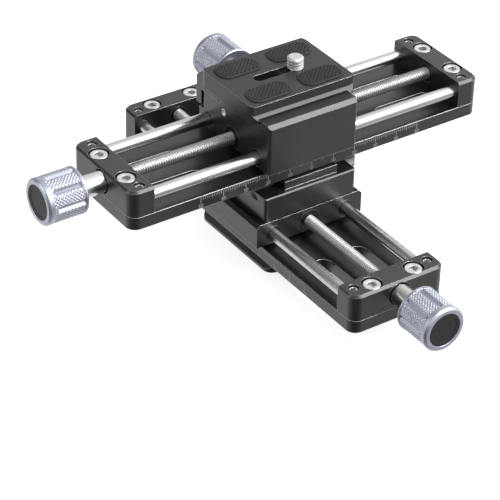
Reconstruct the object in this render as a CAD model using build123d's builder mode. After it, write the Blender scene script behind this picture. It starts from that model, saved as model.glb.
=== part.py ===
"""Macro focusing rail: two crossed screw-driven slides with quick-release clamps.

The origin is the centre of the lower foot's underside. The lower rail runs along Y, the upper
rail along X, and Z is up. Heights on a rail are measured from its deck, the base plate's top.
"""
import os
from math import atan, degrees, radians, sin, tan

from build123d import *

os.makedirs("parts", exist_ok=True)

# Fits
SEAT = 0.02  # radial clearance of pressed and screwed fits
RUN = 0.05  # radial clearance of running fits
FACE_GAP = 0.1  # axial clearance between faces that turn or slide past each other

# Rail, the same for both
RAIL_LENGTH = 160.0
RAIL_WIDTH = 41.8
RAIL_CORNER = 4.0
BASE_THICK = 5.2
BLOCK_LENGTH = 10.0
BLOCK_HEIGHT = 11.0
BLOCK_CHAMFER = 0.9
SLOT_LENGTH = 27.5
SLOT_WIDTH = 8.2
SLOT_INSET = 26.25  # slot centre from the rail's end
SLOT_OFFSET = 8.1  # slot centre from the rail's centre line

# Guide rods and lead screw
SHAFT_HEIGHT = 5.5  # rod and screw axes above the deck
ROD_RADIUS = 2.5
ROD_OFFSET = 16.8
ROD_SEAT = 8.0  # length of rod held in each block
SCREW_RADIUS = 2.5
JOURNAL_RADIUS = 2.0
BEARING_RADIUS = 3.75
REAR_BEARING = 7.0  # length of the blind bearing
COLLAR_RADIUS = 4.35
COLLAR_REACH = 10.2  # from the block's outer face to the knob
RECESS_RADIUS = 4.9
RECESS_DEPTH = 1.5

# Knobs, the same for drive and clamp
KNOB_RADIUS = 9.1
KNOB_LENGTH = 16.5
KNOB_CHAMFER = 0.8
KNOB_SOCKET = 10.0  # length of shaft inside the knob
KNOB_FLANGE = 1.0
KNOB_RIM = 2.5
CAP_RADIUS = 6.8
CAP_THICK = 1.7
CAP_RECESS = 0.3
FLUTES = 8
FLUTE_DEPTH = 1.1
FLUTE_RISE = 1.5  # length over which a flute runs out
FLUTE_HALF_ANGLE = 50.0
FLUTE_TOOL = 2.9  # height of the V tool above its point, more than it cuts
FLUTE_RUN_OUT = 1.8  # length of the tapered tool, more than the rise

# Fasteners
M4_RADIUS = 2.0
M4_HEAD_RADIUS = 3.5
M4_HEAD_HEIGHT = 4.0
M4_KEY = 3.0  # hexagon socket across flats
M4_COUNTERBORE = 4.0
HEAD_BELOW = 0.4  # a head's top below the surface that it is sunk in
SOCKET_DEPTH = 2.0
BLOCK_BOLT_INSET = 4.8  # from the rail's end
BLOCK_BOLT_Y = 9.5
BLOCK_BOLT_LENGTH = 11.0
SET_SCREW_INSET = 6.1  # from the rail's end
SET_SCREW_LENGTH = 2.2
SET_SCREW_KEY = 2.0
SET_SCREW_FLOOR = 0.55  # solid end below the key's socket
FOOT_HEAD_HEIGHT = 3.0
FOOT_BOLT_X = 16.0
FOOT_BOLT_Y = 9.5
FOOT_BOLT_LENGTH = 7.8

# Dovetail foot
FOOT_LENGTH = 48.0
FOOT_HEIGHT = 7.0
FOOT_LIP = 1.0
FOOT_FLANK = 3.0
FOOT_CORNER = 4.0
DOVETAIL_WIDTH = 38.0  # the foot's and the plate's width at the lip
TRIPOD_RADIUS = 4.76  # 3/8 inch thread

# Carriages
CARRIAGE_FRONT = 24.5  # front face from the clamp's centre line
CARRIAGE_REAR = 22.5
CARRIAGE_HALF_WIDTH = 24.4  # lower carriage, across its rail
SKIRT = 1.5  # carriage underside above the deck
LOWER_SIDE_HEIGHT = 11.4  # lower carriage top above its deck
CARRIAGE_CHAMFER = 1.4
CARRIAGE_CORNER = 1.2  # upright corners of the upper carriage and the clamp block
CARRIAGE_LENGTH = 40.3  # upper carriage along its rail
REAR_STEP = 8.5  # the upper carriage is full depth below this height
BUSHING_RADIUS = 3.5
BUSHING_LENGTH = 8.0
BORE_RELIEF = 3.0  # bore between the bushings
NUT_RADIUS = 4.8
NUT_LENGTH = 14.0
LOWER_CARRIAGE_SHIFT = 1.4  # lower carriage from the middle of its rail, at rest
UPPER_CARRIAGE_SHIFT = -2.35
UPPER_RAIL_SHIFT = 2.5  # upper rail along its clamp, at rest

# Clamps, heights above the deck
UPPER_FLOOR = 20.3
UPPER_JAW_TOP = 22.3
LOWER_FLOOR = 18.8
LOWER_JAW_TOP = 22.0
BLOCK_WIDTH = 41.9  # lower clamp block along the dovetail
UPPER_OFFSET = 0.7  # dovetail's centre behind the clamp's centre line
LOWER_OFFSET = 0.0
GRIP_GAP = 0.05  # jaw to dovetail flank
JAW_WALL = 5.0  # movable jaw outside the dovetail's edge
APRON_THICK = 3.3
JAW_OPENING = 2.0  # body to apron at rest
STEP_HEIGHT = 16.0  # floor under the jaw's tongue
TONGUE_END = 9.2
TONGUE_GAP = 0.4
UPPER_APRON = 9.7
LOWER_APRON = 11.6
JAW_CHAMFER = 1.2
LIP_WIDTH = 24.0  # raised middle of the lower fixed jaw
LIP_HEIGHT = 25.3
LIP_SETBACK = 2.2
LIP_SHIFT = 1.5
EDGE_BREAK = 0.4
CLAMP_AXIS = 14.3
LOWER_CLAMP_SHIFT = 8.4  # lower clamp screw beside the middle, clear of the lead screw below
CLAMP_SCREW_LENGTH = 19.0  # inside the jaw's outer face
CLAMP_BORE = 18.0
CLAMP_COLLAR = 4.1
JAW_CLEARANCE = 0.2  # radial, round the clamp screw in the jaw
PIN_HEIGHT = 13.9
PIN_OFFSET = 14.0
PIN_RADIUS = 1.25
PIN_REACH = 12.0  # into the body
PIN_IN_JAW = 2.8
SPRING_POCKET = 8.0
SPRING_POCKET_RADIUS = 2.0
SPRING_MEAN = 1.62
SPRING_WIRE = 0.2
SPRING_COILS = 5
SPRING_GAP = 0.3  # spring end to the apron
BLOCK_SCREW_X = 9.5
BLOCK_SCREW_Y = (-13.5, -4.0)
BLOCK_SCREW_LENGTH = 10.0
STOP_PIN_RADIUS = 1.5
STOP_PIN_LENGTH = 4.5
STOP_PIN_INSET = 13.4  # in front of the clamp body's rear face
STOP_PIN_HEIGHT = 13.5

# Quick-release plate, pads and camera screw
PLATE_LENGTH = 46.8
PLATE_TOP_WIDTH = 34.4
PLATE_HEIGHT = 7.0
PLATE_SLAB = 3.4
PLATE_LIP = 0.8
PLATE_FLANK = 2.5
PLATE_CORNER = 4.5
PLATE_SHIFT = 0.85  # plate from the carriage's middle, at rest
PLATE_SLOT_WIDTH = 4.4
PLATE_SLOT_LENGTH = 22.0
PLATE_SLOT_SHIFT = 0.0
HEAD_CHANNEL_WIDTH = 12.4
HEAD_CHANNEL_DEPTH = 4.2
PAD_LENGTH = 18.2
PAD_WIDTH = 10.0
PAD_CORNER = 3.9
PAD_DEPTH = 1.0
PAD_PROUD = 0.8
PAD_X = 11.8
PAD_Y = 10.3
CAMERA_SCREW_X = 7.8  # from the plate's middle, at rest
CAMERA_THREAD_RADIUS = 3.175  # 1/4 inch thread
CAMERA_THREAD_LENGTH = 4.4
CAMERA_NECK_RADIUS = 2.0
CAMERA_HEAD_RADIUS = 5.5
CAMERA_HEAD_HEIGHT = 3.0
CAMERA_KEY = 4.8
WASHER_RADIUS = 5.2
WASHER_THICK = 0.5

HALF_LENGTH = RAIL_LENGTH / 2
INNER_FACE = HALF_LENGTH - BLOCK_LENGTH
LOWER_DECK_HEIGHT = FOOT_HEIGHT + BASE_THICK
UPPER_DECK_HEIGHT = LOWER_DECK_HEIGHT + LOWER_FLOOR + FOOT_HEIGHT + BASE_THICK

# A rail's deck plane: x runs along the rail away from its knob, z is up.
decks = {
    "lower": Plane(origin=(0, 0, LOWER_DECK_HEIGHT), x_dir=(0, 1, 0), z_dir=(0, 0, 1)),
    "upper": Plane(
        origin=(UPPER_RAIL_SHIFT, LOWER_CARRIAGE_SHIFT, UPPER_DECK_HEIGHT),
        x_dir=(1, 0, 0),
        z_dir=(0, 0, 1),
    ),
}


def section_of(deck):
    """Section plane of a rail: x runs across the rail, y is up and z runs along it."""
    return Plane(origin=deck.origin, x_dir=deck.y_dir, z_dir=deck.x_dir)


# Both clamps face the same way: their section plane has x along +Y, y up and z along +X.
clamps = {
    "lower": Plane(
        origin=(0, LOWER_CARRIAGE_SHIFT, LOWER_DECK_HEIGHT), x_dir=(0, 1, 0), z_dir=(1, 0, 0)
    ),
    "upper": Plane(
        origin=(UPPER_RAIL_SHIFT + UPPER_CARRIAGE_SHIFT, LOWER_CARRIAGE_SHIFT, UPPER_DECK_HEIGHT),
        x_dir=(0, 1, 0),
        z_dir=(1, 0, 0),
    ),
}


def fluted_knob(face):
    """Round grip on the plane `face`, with V flutes that run out before its outer rim."""
    flute_length = KNOB_LENGTH - KNOB_FLANGE - KNOB_RIM - FLUTE_RISE
    half_angle = radians(FLUTE_HALF_ANGLE)
    groove_half = FLUTE_TOOL * tan(half_angle)
    rise_taper = degrees(atan(FLUTE_DEPTH * sin(half_angle) / FLUTE_RISE))
    with BuildPart() as knob:
        with BuildSketch(face):
            Circle(KNOB_RADIUS)
        extrude(amount=KNOB_LENGTH)
        outer_face = knob.faces().sort_by(Axis(face.origin, face.z_dir))[-1]
        chamfer(outer_face.edges(), KNOB_CHAMFER)
        with BuildSketch(face.offset(KNOB_LENGTH)):
            Circle(CAP_RADIUS + SEAT)
        extrude(amount=-CAP_THICK - CAP_RECESS, mode=Mode.SUBTRACT)
        with BuildSketch(face):
            Circle(JOURNAL_RADIUS + SEAT)
        extrude(amount=KNOB_SOCKET, mode=Mode.SUBTRACT)
        for start, length, taper in (
            (KNOB_FLANGE, flute_length, 0),
            (KNOB_FLANGE + flute_length, FLUTE_RUN_OUT, rise_taper),
        ):
            with BuildSketch(face.offset(start)):
                with PolarLocations(KNOB_RADIUS - FLUTE_DEPTH, FLUTES):
                    Polygon(
                        (0, 0),
                        (FLUTE_TOOL, -groove_half),
                        (FLUTE_TOOL, groove_half),
                        align=None,
                    )
            extrude(amount=length, taper=taper, mode=Mode.SUBTRACT)
    return knob.part


def knob_cap(face):
    """Dark disc let into the outer end of the knob that stands on the plane `face`."""
    with BuildPart() as cap:
        with BuildSketch(face.offset(KNOB_LENGTH - CAP_RECESS)):
            Circle(CAP_RADIUS)
        extrude(amount=-CAP_THICK)
    return cap.part


def cap_screws(top, places, length, head_height=M4_HEAD_HEIGHT):
    """Socket head screws whose heads end on the plane `top`, at `places` on it."""
    with BuildPart() as screws:
        with BuildSketch(top):
            with Locations(*places):
                Circle(M4_HEAD_RADIUS)
        extrude(amount=-head_height)
        with BuildSketch(top.offset(-head_height)):
            with Locations(*places):
                Circle(M4_RADIUS)
        extrude(amount=-length)
        with BuildSketch(top):
            with Locations(*places):
                RegularPolygon(M4_KEY / 2, 6, major_radius=False)
        extrude(amount=-SOCKET_DEPTH, mode=Mode.SUBTRACT)
    return screws.part


for side, deck in decks.items():
    section = section_of(deck)
    mirror_pair = (-1, 1)
    bolt_x = HALF_LENGTH - BLOCK_BOLT_INSET
    set_screw_x = HALF_LENGTH - SET_SCREW_INSET
    block_bolts = [(sx * bolt_x, sy * BLOCK_BOLT_Y) for sx in mirror_pair for sy in mirror_pair]
    foot_bolts = [(sx * FOOT_BOLT_X, sy * FOOT_BOLT_Y) for sx in mirror_pair for sy in mirror_pair]
    set_screws = [(sx * set_screw_x, sy * ROD_OFFSET) for sx in mirror_pair for sy in mirror_pair]
    block_head_depth = M4_HEAD_HEIGHT + HEAD_BELOW
    block_bolt_tip = BLOCK_HEIGHT - block_head_depth - BLOCK_BOLT_LENGTH
    foot_bolt_tip = FOOT_HEAD_HEIGHT + HEAD_BELOW + FOOT_BOLT_LENGTH - FOOT_HEIGHT - BASE_THICK

    # Base plate: a milled flat bar with rounded corners and two slots at each end.
    with BuildPart() as base_plate:
        with BuildSketch(deck):
            RectangleRounded(RAIL_LENGTH, RAIL_WIDTH, RAIL_CORNER)
            with GridLocations(RAIL_LENGTH - 2 * SLOT_INSET, 2 * SLOT_OFFSET, 2, 2):
                SlotOverall(SLOT_LENGTH, SLOT_WIDTH, mode=Mode.SUBTRACT)
        extrude(amount=-BASE_THICK)
        with BuildSketch(deck):
            with Locations(*block_bolts):
                Circle(M4_RADIUS + SEAT)
        extrude(amount=block_bolt_tip, mode=Mode.SUBTRACT)
        with BuildSketch(deck.offset(-BASE_THICK)):
            with Locations(*foot_bolts):
                Circle(M4_RADIUS + SEAT)
        extrude(amount=BASE_THICK + foot_bolt_tip, mode=Mode.SUBTRACT)
    base_plate.part.label = f"{side}_base_plate"
    export_step(base_plate.part, f"parts/{side}_base_plate.step")

    # End blocks: they hold the rods and the lead screw; the front one is next to the knob.
    for end, sign in (("front", -1), ("rear", 1)):
        with BuildPart() as end_block:
            with BuildSketch(deck):
                RectangleRounded(RAIL_LENGTH, RAIL_WIDTH, RAIL_CORNER)
                with Locations((sign * (HALF_LENGTH - BLOCK_LENGTH / 2), 0)):
                    Rectangle(BLOCK_LENGTH, RAIL_WIDTH, mode=Mode.INTERSECT)
            extrude(amount=BLOCK_HEIGHT)
            rim = end_block.faces().sort_by(Axis.Z)[-1].edges()
            outward = Axis(deck.origin, deck.x_dir * sign)
            chamfer(rim.sort_by(outward)[1:], BLOCK_CHAMFER)
            with BuildSketch(section.offset(sign * INNER_FACE)):
                with Locations((-ROD_OFFSET, SHAFT_HEIGHT), (ROD_OFFSET, SHAFT_HEIGHT)):
                    Circle(ROD_RADIUS + SEAT)
            extrude(amount=sign * ROD_SEAT, mode=Mode.SUBTRACT)
            bearing_length = BLOCK_LENGTH if end == "front" else REAR_BEARING
            with BuildSketch(section.offset(sign * INNER_FACE)):
                with Locations((0, SHAFT_HEIGHT)):
                    Circle(BEARING_RADIUS + SEAT)
            extrude(amount=sign * bearing_length, mode=Mode.SUBTRACT)
            if end == "front":
                with BuildSketch(section.offset(-HALF_LENGTH)):
                    with Locations((0, SHAFT_HEIGHT)):
                        Circle(RECESS_RADIUS)
                extrude(amount=RECESS_DEPTH, mode=Mode.SUBTRACT)
            with Locations(deck.offset(BLOCK_HEIGHT)):
                with Locations(*[place for place in block_bolts if place[0] * sign > 0]):
                    CounterBoreHole(M4_RADIUS + SEAT, M4_COUNTERBORE, block_head_depth)
            with BuildSketch(deck.offset(BLOCK_HEIGHT)):
                with Locations(*[place for place in set_screws if place[0] * sign > 0]):
                    Circle(M4_RADIUS + SEAT)
            extrude(amount=SHAFT_HEIGHT - BLOCK_HEIGHT, mode=Mode.SUBTRACT)
        end_block.part.label = f"{side}_{end}_block"
        export_step(end_block.part, f"parts/{side}_{end}_block.step")

    # Guide rods: two ground steel bars, one each side of the screw.
    with BuildPart() as guide_rods:
        with BuildSketch(section.offset(-INNER_FACE - ROD_SEAT)):
            with Locations((-ROD_OFFSET, SHAFT_HEIGHT), (ROD_OFFSET, SHAFT_HEIGHT)):
                Circle(ROD_RADIUS)
        extrude(amount=2 * (INNER_FACE + ROD_SEAT))
    guide_rods.part.label = f"{side}_guide_rods"
    export_step(guide_rods.part, f"parts/{side}_guide_rods.step")

    # Cap screws of the end blocks, sunk in counterbores.
    block_screws = cap_screws(
        deck.offset(BLOCK_HEIGHT - HEAD_BELOW), block_bolts, BLOCK_BOLT_LENGTH - SEAT
    )
    block_screws.label = f"{side}_block_screws"
    export_step(block_screws, f"parts/{side}_block_screws.step")

    # Set screws that lock the rods from above.
    with BuildPart() as rod_set_screws:
        set_screw_foot = SHAFT_HEIGHT + ROD_RADIUS + SEAT
        with BuildSketch(deck.offset(set_screw_foot)):
            with Locations(*set_screws):
                Circle(M4_RADIUS)
                RegularPolygon(SET_SCREW_KEY / 2, 6, major_radius=False, mode=Mode.SUBTRACT)
        extrude(amount=SET_SCREW_LENGTH)
        with BuildSketch(deck.offset(set_screw_foot)):
            with Locations(*set_screws):
                Circle(M4_RADIUS)
        extrude(amount=SET_SCREW_FLOOR)
    rod_set_screws.part.label = f"{side}_rod_set_screws"
    export_step(rod_set_screws.part, f"parts/{side}_rod_set_screws.step")

    # Foot: a dovetail of the common width under the base, with a tripod thread in its middle.
    foot_plane = deck.offset(-BASE_THICK - FOOT_HEIGHT)
    with BuildPart() as foot:
        lip_half = DOVETAIL_WIDTH / 2
        neck_half = lip_half - FOOT_FLANK
        with BuildSketch(section_of(foot_plane).offset(-FOOT_LENGTH / 2)):
            with BuildLine():
                Polyline(
                    (-lip_half, 0),
                    (lip_half, 0),
                    (lip_half, FOOT_LIP),
                    (neck_half, FOOT_LIP + FOOT_FLANK),
                    (neck_half, FOOT_HEIGHT),
                    (-neck_half, FOOT_HEIGHT),
                    (-neck_half, FOOT_LIP + FOOT_FLANK),
                    (-lip_half, FOOT_LIP),
                    close=True,
                )
            make_face()
        extrude(amount=FOOT_LENGTH)
        with BuildSketch(foot_plane):
            RectangleRounded(FOOT_LENGTH, DOVETAIL_WIDTH, FOOT_CORNER)
        extrude(amount=FOOT_HEIGHT, mode=Mode.INTERSECT)
        with BuildSketch(foot_plane):
            Circle(TRIPOD_RADIUS)
            with Locations(*foot_bolts):
                Circle(M4_RADIUS + SEAT)
        extrude(amount=FOOT_HEIGHT, mode=Mode.SUBTRACT)
        with BuildSketch(foot_plane):
            with Locations(*foot_bolts):
                Circle(M4_COUNTERBORE)
        extrude(amount=FOOT_HEAD_HEIGHT + HEAD_BELOW, mode=Mode.SUBTRACT)
    foot.part.label = f"{side}_foot"
    export_step(foot.part, f"parts/{side}_foot.step")

    # Foot screws, driven from below.
    under = Plane(
        origin=foot_plane.origin + Vector(0, 0, HEAD_BELOW), x_dir=deck.x_dir, z_dir=(0, 0, -1)
    )
    foot_screws = cap_screws(under, foot_bolts, FOOT_BOLT_LENGTH - SEAT, FOOT_HEAD_HEIGHT)
    foot_screws.label = f"{side}_foot_screws"
    export_step(foot_screws, f"parts/{side}_foot_screws.step")

    # Plain bearings: a through bush in the front block and a blind one in the rear block.
    with BuildPart() as screw_bearings:
        front_bearing = BLOCK_LENGTH - RECESS_DEPTH
        for start, length in ((-INNER_FACE - front_bearing, front_bearing), (INNER_FACE, REAR_BEARING)):
            with BuildSketch(section.offset(start)):
                with Locations((0, SHAFT_HEIGHT)):
                    Circle(BEARING_RADIUS)
                    Circle(JOURNAL_RADIUS + RUN, mode=Mode.SUBTRACT)
            extrude(amount=length)
    screw_bearings.part.label = f"{side}_screw_bearings"
    export_step(screw_bearings.part, f"parts/{side}_screw_bearings.step")

    # Lead screw: its shoulders run between the bearings, its front journal carries the knob.
    thread_half = INNER_FACE - FACE_GAP
    front_journal = BLOCK_LENGTH + COLLAR_REACH + KNOB_SOCKET
    rear_journal = REAR_BEARING - FACE_GAP
    with BuildPart() as lead_screw:
        for start, length, radius in (
            (-INNER_FACE - front_journal, front_journal + FACE_GAP, JOURNAL_RADIUS),
            (-thread_half, 2 * thread_half, SCREW_RADIUS),
            (thread_half, rear_journal, JOURNAL_RADIUS),
        ):
            with BuildSketch(section.offset(start)):
                with Locations((0, SHAFT_HEIGHT)):
                    Circle(radius)
            extrude(amount=length)
    lead_screw.part.label = f"{side}_lead_screw"
    export_step(lead_screw.part, f"parts/{side}_lead_screw.step")

    # Polished collar between the front block's recess and the knob.
    collar_length = COLLAR_REACH + RECESS_DEPTH - FACE_GAP
    with BuildPart() as screw_collar:
        with BuildSketch(section.offset(-HALF_LENGTH - COLLAR_REACH)):
            with Locations((0, SHAFT_HEIGHT)):
                Circle(COLLAR_RADIUS)
                Circle(JOURNAL_RADIUS + SEAT, mode=Mode.SUBTRACT)
        extrude(amount=collar_length)
    screw_collar.part.label = f"{side}_screw_collar"
    export_step(screw_collar.part, f"parts/{side}_screw_collar.step")

    # Drive knob and its dark cap.
    knob_seat = section.offset(-HALF_LENGTH - COLLAR_REACH)
    knob_face = Plane(
        origin=knob_seat.origin + Vector(0, 0, SHAFT_HEIGHT), x_dir=deck.y_dir, z_dir=deck.x_dir * -1
    )
    drive_knob = fluted_knob(knob_face)
    drive_knob.label = f"{side}_drive_knob"
    export_step(drive_knob, f"parts/{side}_drive_knob.step")
    drive_cap = knob_cap(knob_face)
    drive_cap.label = f"{side}_drive_knob_cap"
    export_step(drive_cap, f"parts/{side}_drive_knob_cap.step")


def cut_shaft_bores(start, length):
    """Cut rod and screw bores along a rail into the current part, from the plane `start`."""
    rod_places = ((-ROD_OFFSET, SHAFT_HEIGHT), (ROD_OFFSET, SHAFT_HEIGHT))
    screw_place = ((0, SHAFT_HEIGHT),)
    for plane, places, radius, depth in (
        (start, rod_places + screw_place, BORE_RELIEF, length),
        (start, rod_places, BUSHING_RADIUS + SEAT, BUSHING_LENGTH),
        (start.offset(length), rod_places, BUSHING_RADIUS + SEAT, -BUSHING_LENGTH),
        (start, screw_place, NUT_RADIUS + SEAT, NUT_LENGTH),
    ):
        with BuildSketch(plane) as bores:
            with Locations(*places):
                Circle(radius)
        extrude(bores.sketch, amount=depth, mode=Mode.SUBTRACT)


def cut_clamp_bores(clamp, rear_face, screw_shift):
    """Cut the clamp screw's and guide pins' bores into the current part, from its rear face."""
    rear = Plane(origin=clamp.origin + Vector(0, rear_face, 0), x_dir=(-1, 0, 0), z_dir=(0, 1, 0))
    pin_places = ((-PIN_OFFSET, PIN_HEIGHT), (PIN_OFFSET, PIN_HEIGHT))
    for places, radius, depth in (
        (((-screw_shift, CLAMP_AXIS),), M4_RADIUS + RUN, CLAMP_BORE),
        (pin_places, PIN_RADIUS + RUN, PIN_REACH + JAW_OPENING),
        (pin_places, SPRING_POCKET_RADIUS, SPRING_POCKET),
    ):
        with BuildSketch(rear) as bores:
            with Locations(*places):
                Circle(radius)
        extrude(bores.sketch, amount=-depth, mode=Mode.SUBTRACT)


clamp_sizes = {
    "lower": (
        (LOWER_OFFSET, LOWER_FLOOR, LOWER_JAW_TOP, FOOT_LIP),
        (LOWER_APRON, BLOCK_WIDTH, LOWER_CLAMP_SHIFT),
    ),
    "upper": (
        (UPPER_OFFSET, UPPER_FLOOR, UPPER_JAW_TOP, PLATE_LIP),
        (UPPER_APRON, CARRIAGE_LENGTH, 0),
    ),
}

# Lower carriage: a plain slide on the rods, with chamfered top edges at its sides.
lower_start = section_of(decks["lower"]).offset(LOWER_CARRIAGE_SHIFT - CARRIAGE_FRONT)
lower_depth = CARRIAGE_FRONT + CARRIAGE_REAR
block_screw_places = [(x, y) for x in (-BLOCK_SCREW_X, BLOCK_SCREW_X) for y in BLOCK_SCREW_Y]
block_screw_tip = LOWER_FLOOR - M4_HEAD_HEIGHT - HEAD_BELOW - BLOCK_SCREW_LENGTH
with BuildPart() as lower_carriage:
    with BuildSketch(lower_start):
        with Locations((0, (SKIRT + LOWER_SIDE_HEIGHT) / 2)):
            slab = Rectangle(2 * CARRIAGE_HALF_WIDTH, LOWER_SIDE_HEIGHT - SKIRT)
        chamfer(slab.vertices().group_by(Axis.Y)[-1], CARRIAGE_CHAMFER)
    extrude(amount=lower_depth)
    cut_shaft_bores(lower_start, lower_depth)
    clamp_top = Plane.XY.offset(LOWER_DECK_HEIGHT + LOWER_SIDE_HEIGHT)
    with BuildSketch(clamp_top.shift_origin((0, LOWER_CARRIAGE_SHIFT, clamp_top.origin.Z))):
        with Locations(*block_screw_places):
            Circle(M4_RADIUS + SEAT)
    extrude(amount=block_screw_tip - LOWER_SIDE_HEIGHT, mode=Mode.SUBTRACT)
lower_carriage.part.label = "lower_carriage"
export_step(lower_carriage.part, "parts/lower_carriage.step")

# Clamp block: it grips the upper rail's foot, and its fixed jaw has a raised middle lip.
lower_clamp = clamps["lower"]
fixed_edge = LOWER_OFFSET - DOVETAIL_WIDTH / 2 - GRIP_GAP
lower_rear = LOWER_OFFSET + DOVETAIL_WIDTH / 2 + JAW_WALL - APRON_THICK - JAW_OPENING
undercut_foot = LOWER_FLOOR + FOOT_LIP
undercut_rise = LOWER_JAW_TOP - undercut_foot
with BuildPart() as clamp_block:
    with BuildSketch(lower_clamp.offset(-BLOCK_WIDTH / 2)):
        with BuildLine():
            Polyline(
                (-CARRIAGE_FRONT, LOWER_SIDE_HEIGHT),
                (lower_rear, LOWER_SIDE_HEIGHT),
                (lower_rear, STEP_HEIGHT),
                (TONGUE_END, STEP_HEIGHT),
                (TONGUE_END, LOWER_FLOOR),
                (fixed_edge, LOWER_FLOOR),
                (fixed_edge, undercut_foot),
                (fixed_edge + undercut_rise, LOWER_JAW_TOP),
                (EDGE_BREAK - CARRIAGE_FRONT, LOWER_JAW_TOP),
                (-CARRIAGE_FRONT, LOWER_JAW_TOP - EDGE_BREAK),
                close=True,
            )
        make_face()
    extrude(amount=BLOCK_WIDTH)
    block_front = clamp_block.faces().sort_by(Axis.Y)[0]
    fillet(block_front.edges().filter_by(Axis.Z), CARRIAGE_CORNER)
    with BuildSketch(lower_clamp.offset(LIP_SHIFT - LIP_WIDTH / 2)):
        with BuildLine():
            lip_inner = fixed_edge + FOOT_FLANK
            Polyline(
                (LIP_SETBACK - CARRIAGE_FRONT, LOWER_JAW_TOP),
                (fixed_edge + undercut_rise, LOWER_JAW_TOP),
                (lip_inner, undercut_foot + FOOT_FLANK),
                (lip_inner, LIP_HEIGHT),
                (LIP_SETBACK - CARRIAGE_FRONT, LIP_HEIGHT),
                close=True,
            )
        make_face()
    extrude(amount=LIP_WIDTH)
    cut_clamp_bores(lower_clamp, lower_rear, LOWER_CLAMP_SHIFT)
    block_floor = Plane(origin=lower_clamp.origin + Vector(0, 0, LOWER_FLOOR))
    with Locations(block_floor):
        with Locations(*block_screw_places):
            CounterBoreHole(
                M4_RADIUS + SEAT,
                M4_COUNTERBORE,
                M4_HEAD_HEIGHT + HEAD_BELOW,
                LOWER_FLOOR - LOWER_SIDE_HEIGHT,
            )
clamp_block.part.label = "clamp_block"
export_step(clamp_block.part, "parts/clamp_block.step")

clamp_block_screws = cap_screws(
    block_floor.offset(-HEAD_BELOW), block_screw_places, BLOCK_SCREW_LENGTH - SEAT
)
clamp_block_screws.label = "clamp_block_screws"
export_step(clamp_block_screws, "parts/clamp_block_screws.step")

# Upper carriage: slide and clamp body in one piece.
upper_clamp = clamps["upper"]
upper_edge = UPPER_OFFSET - DOVETAIL_WIDTH / 2 - GRIP_GAP
upper_rear = UPPER_OFFSET + DOVETAIL_WIDTH / 2 + JAW_WALL - APRON_THICK - JAW_OPENING
upper_undercut = UPPER_FLOOR + PLATE_LIP
upper_rise = UPPER_JAW_TOP - upper_undercut
upper_start = section_of(decks["upper"]).offset(UPPER_CARRIAGE_SHIFT - CARRIAGE_LENGTH / 2)
with BuildPart() as upper_carriage:
    with BuildSketch(upper_clamp.offset(-CARRIAGE_LENGTH / 2)):
        with BuildLine():
            Polyline(
                (-CARRIAGE_FRONT, SKIRT),
                (CARRIAGE_REAR, SKIRT),
                (CARRIAGE_REAR, REAR_STEP),
                (upper_rear, REAR_STEP),
                (upper_rear, STEP_HEIGHT),
                (TONGUE_END, STEP_HEIGHT),
                (TONGUE_END, UPPER_FLOOR),
                (upper_edge, UPPER_FLOOR),
                (upper_edge, upper_undercut),
                (upper_edge + upper_rise, UPPER_JAW_TOP),
                (CARRIAGE_CHAMFER - CARRIAGE_FRONT, UPPER_JAW_TOP),
                (-CARRIAGE_FRONT, UPPER_JAW_TOP - CARRIAGE_CHAMFER),
                close=True,
            )
        make_face()
    extrude(amount=CARRIAGE_LENGTH)
    body_front = upper_carriage.faces().sort_by(Axis.Y)[0]
    fillet(body_front.edges().filter_by(Axis.Z), CARRIAGE_CORNER)
    cut_shaft_bores(upper_start, CARRIAGE_LENGTH)
    cut_clamp_bores(upper_clamp, upper_rear, 0)
    with BuildSketch(upper_clamp.offset(-CARRIAGE_LENGTH / 2)):
        with Locations((upper_rear - STOP_PIN_INSET, STOP_PIN_HEIGHT)):
            Circle(STOP_PIN_RADIUS + SEAT)
    extrude(amount=STOP_PIN_LENGTH, mode=Mode.SUBTRACT)
upper_carriage.part.label = "upper_carriage"
export_step(upper_carriage.part, "parts/upper_carriage.step")

# Stop pin pressed into the carriage's end face.
with BuildPart() as stop_pin:
    with BuildSketch(upper_clamp.offset(-CARRIAGE_LENGTH / 2)):
        with Locations((upper_rear - STOP_PIN_INSET, STOP_PIN_HEIGHT)):
            Circle(STOP_PIN_RADIUS)
    extrude(amount=STOP_PIN_LENGTH)
stop_pin.part.label = "stop_pin"
export_step(stop_pin.part, "parts/stop_pin.step")

for side, start, length in (
    ("lower", lower_start, lower_depth),
    ("upper", upper_start, CARRIAGE_LENGTH),
):
    # Rod bushings, pressed in flush with the carriage's ends.
    with BuildPart() as carriage_bushings:
        for face in (start, start.offset(length - BUSHING_LENGTH)):
            with BuildSketch(face):
                with Locations((-ROD_OFFSET, SHAFT_HEIGHT), (ROD_OFFSET, SHAFT_HEIGHT)):
                    Circle(BUSHING_RADIUS)
                    Circle(ROD_RADIUS + RUN, mode=Mode.SUBTRACT)
            extrude(amount=BUSHING_LENGTH)
    carriage_bushings.part.label = f"{side}_carriage_bushings"
    export_step(carriage_bushings.part, f"parts/{side}_carriage_bushings.step")

    # Drive nut: round, with a flat ground flush with the carriage's underside.
    with BuildPart() as drive_nut:
        with BuildSketch(start):
            with Locations((0, SHAFT_HEIGHT)):
                Circle(NUT_RADIUS)
                Circle(SCREW_RADIUS + RUN, mode=Mode.SUBTRACT)
            with Locations((0, SKIRT)):
                Rectangle(
                    2 * NUT_RADIUS,
                    SHAFT_HEIGHT,
                    align=(Align.CENTER, Align.MAX),
                    mode=Mode.SUBTRACT,
                )
        extrude(amount=NUT_LENGTH)
    drive_nut.part.label = f"{side}_drive_nut"
    export_step(drive_nut.part, f"parts/{side}_drive_nut.step")

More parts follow.
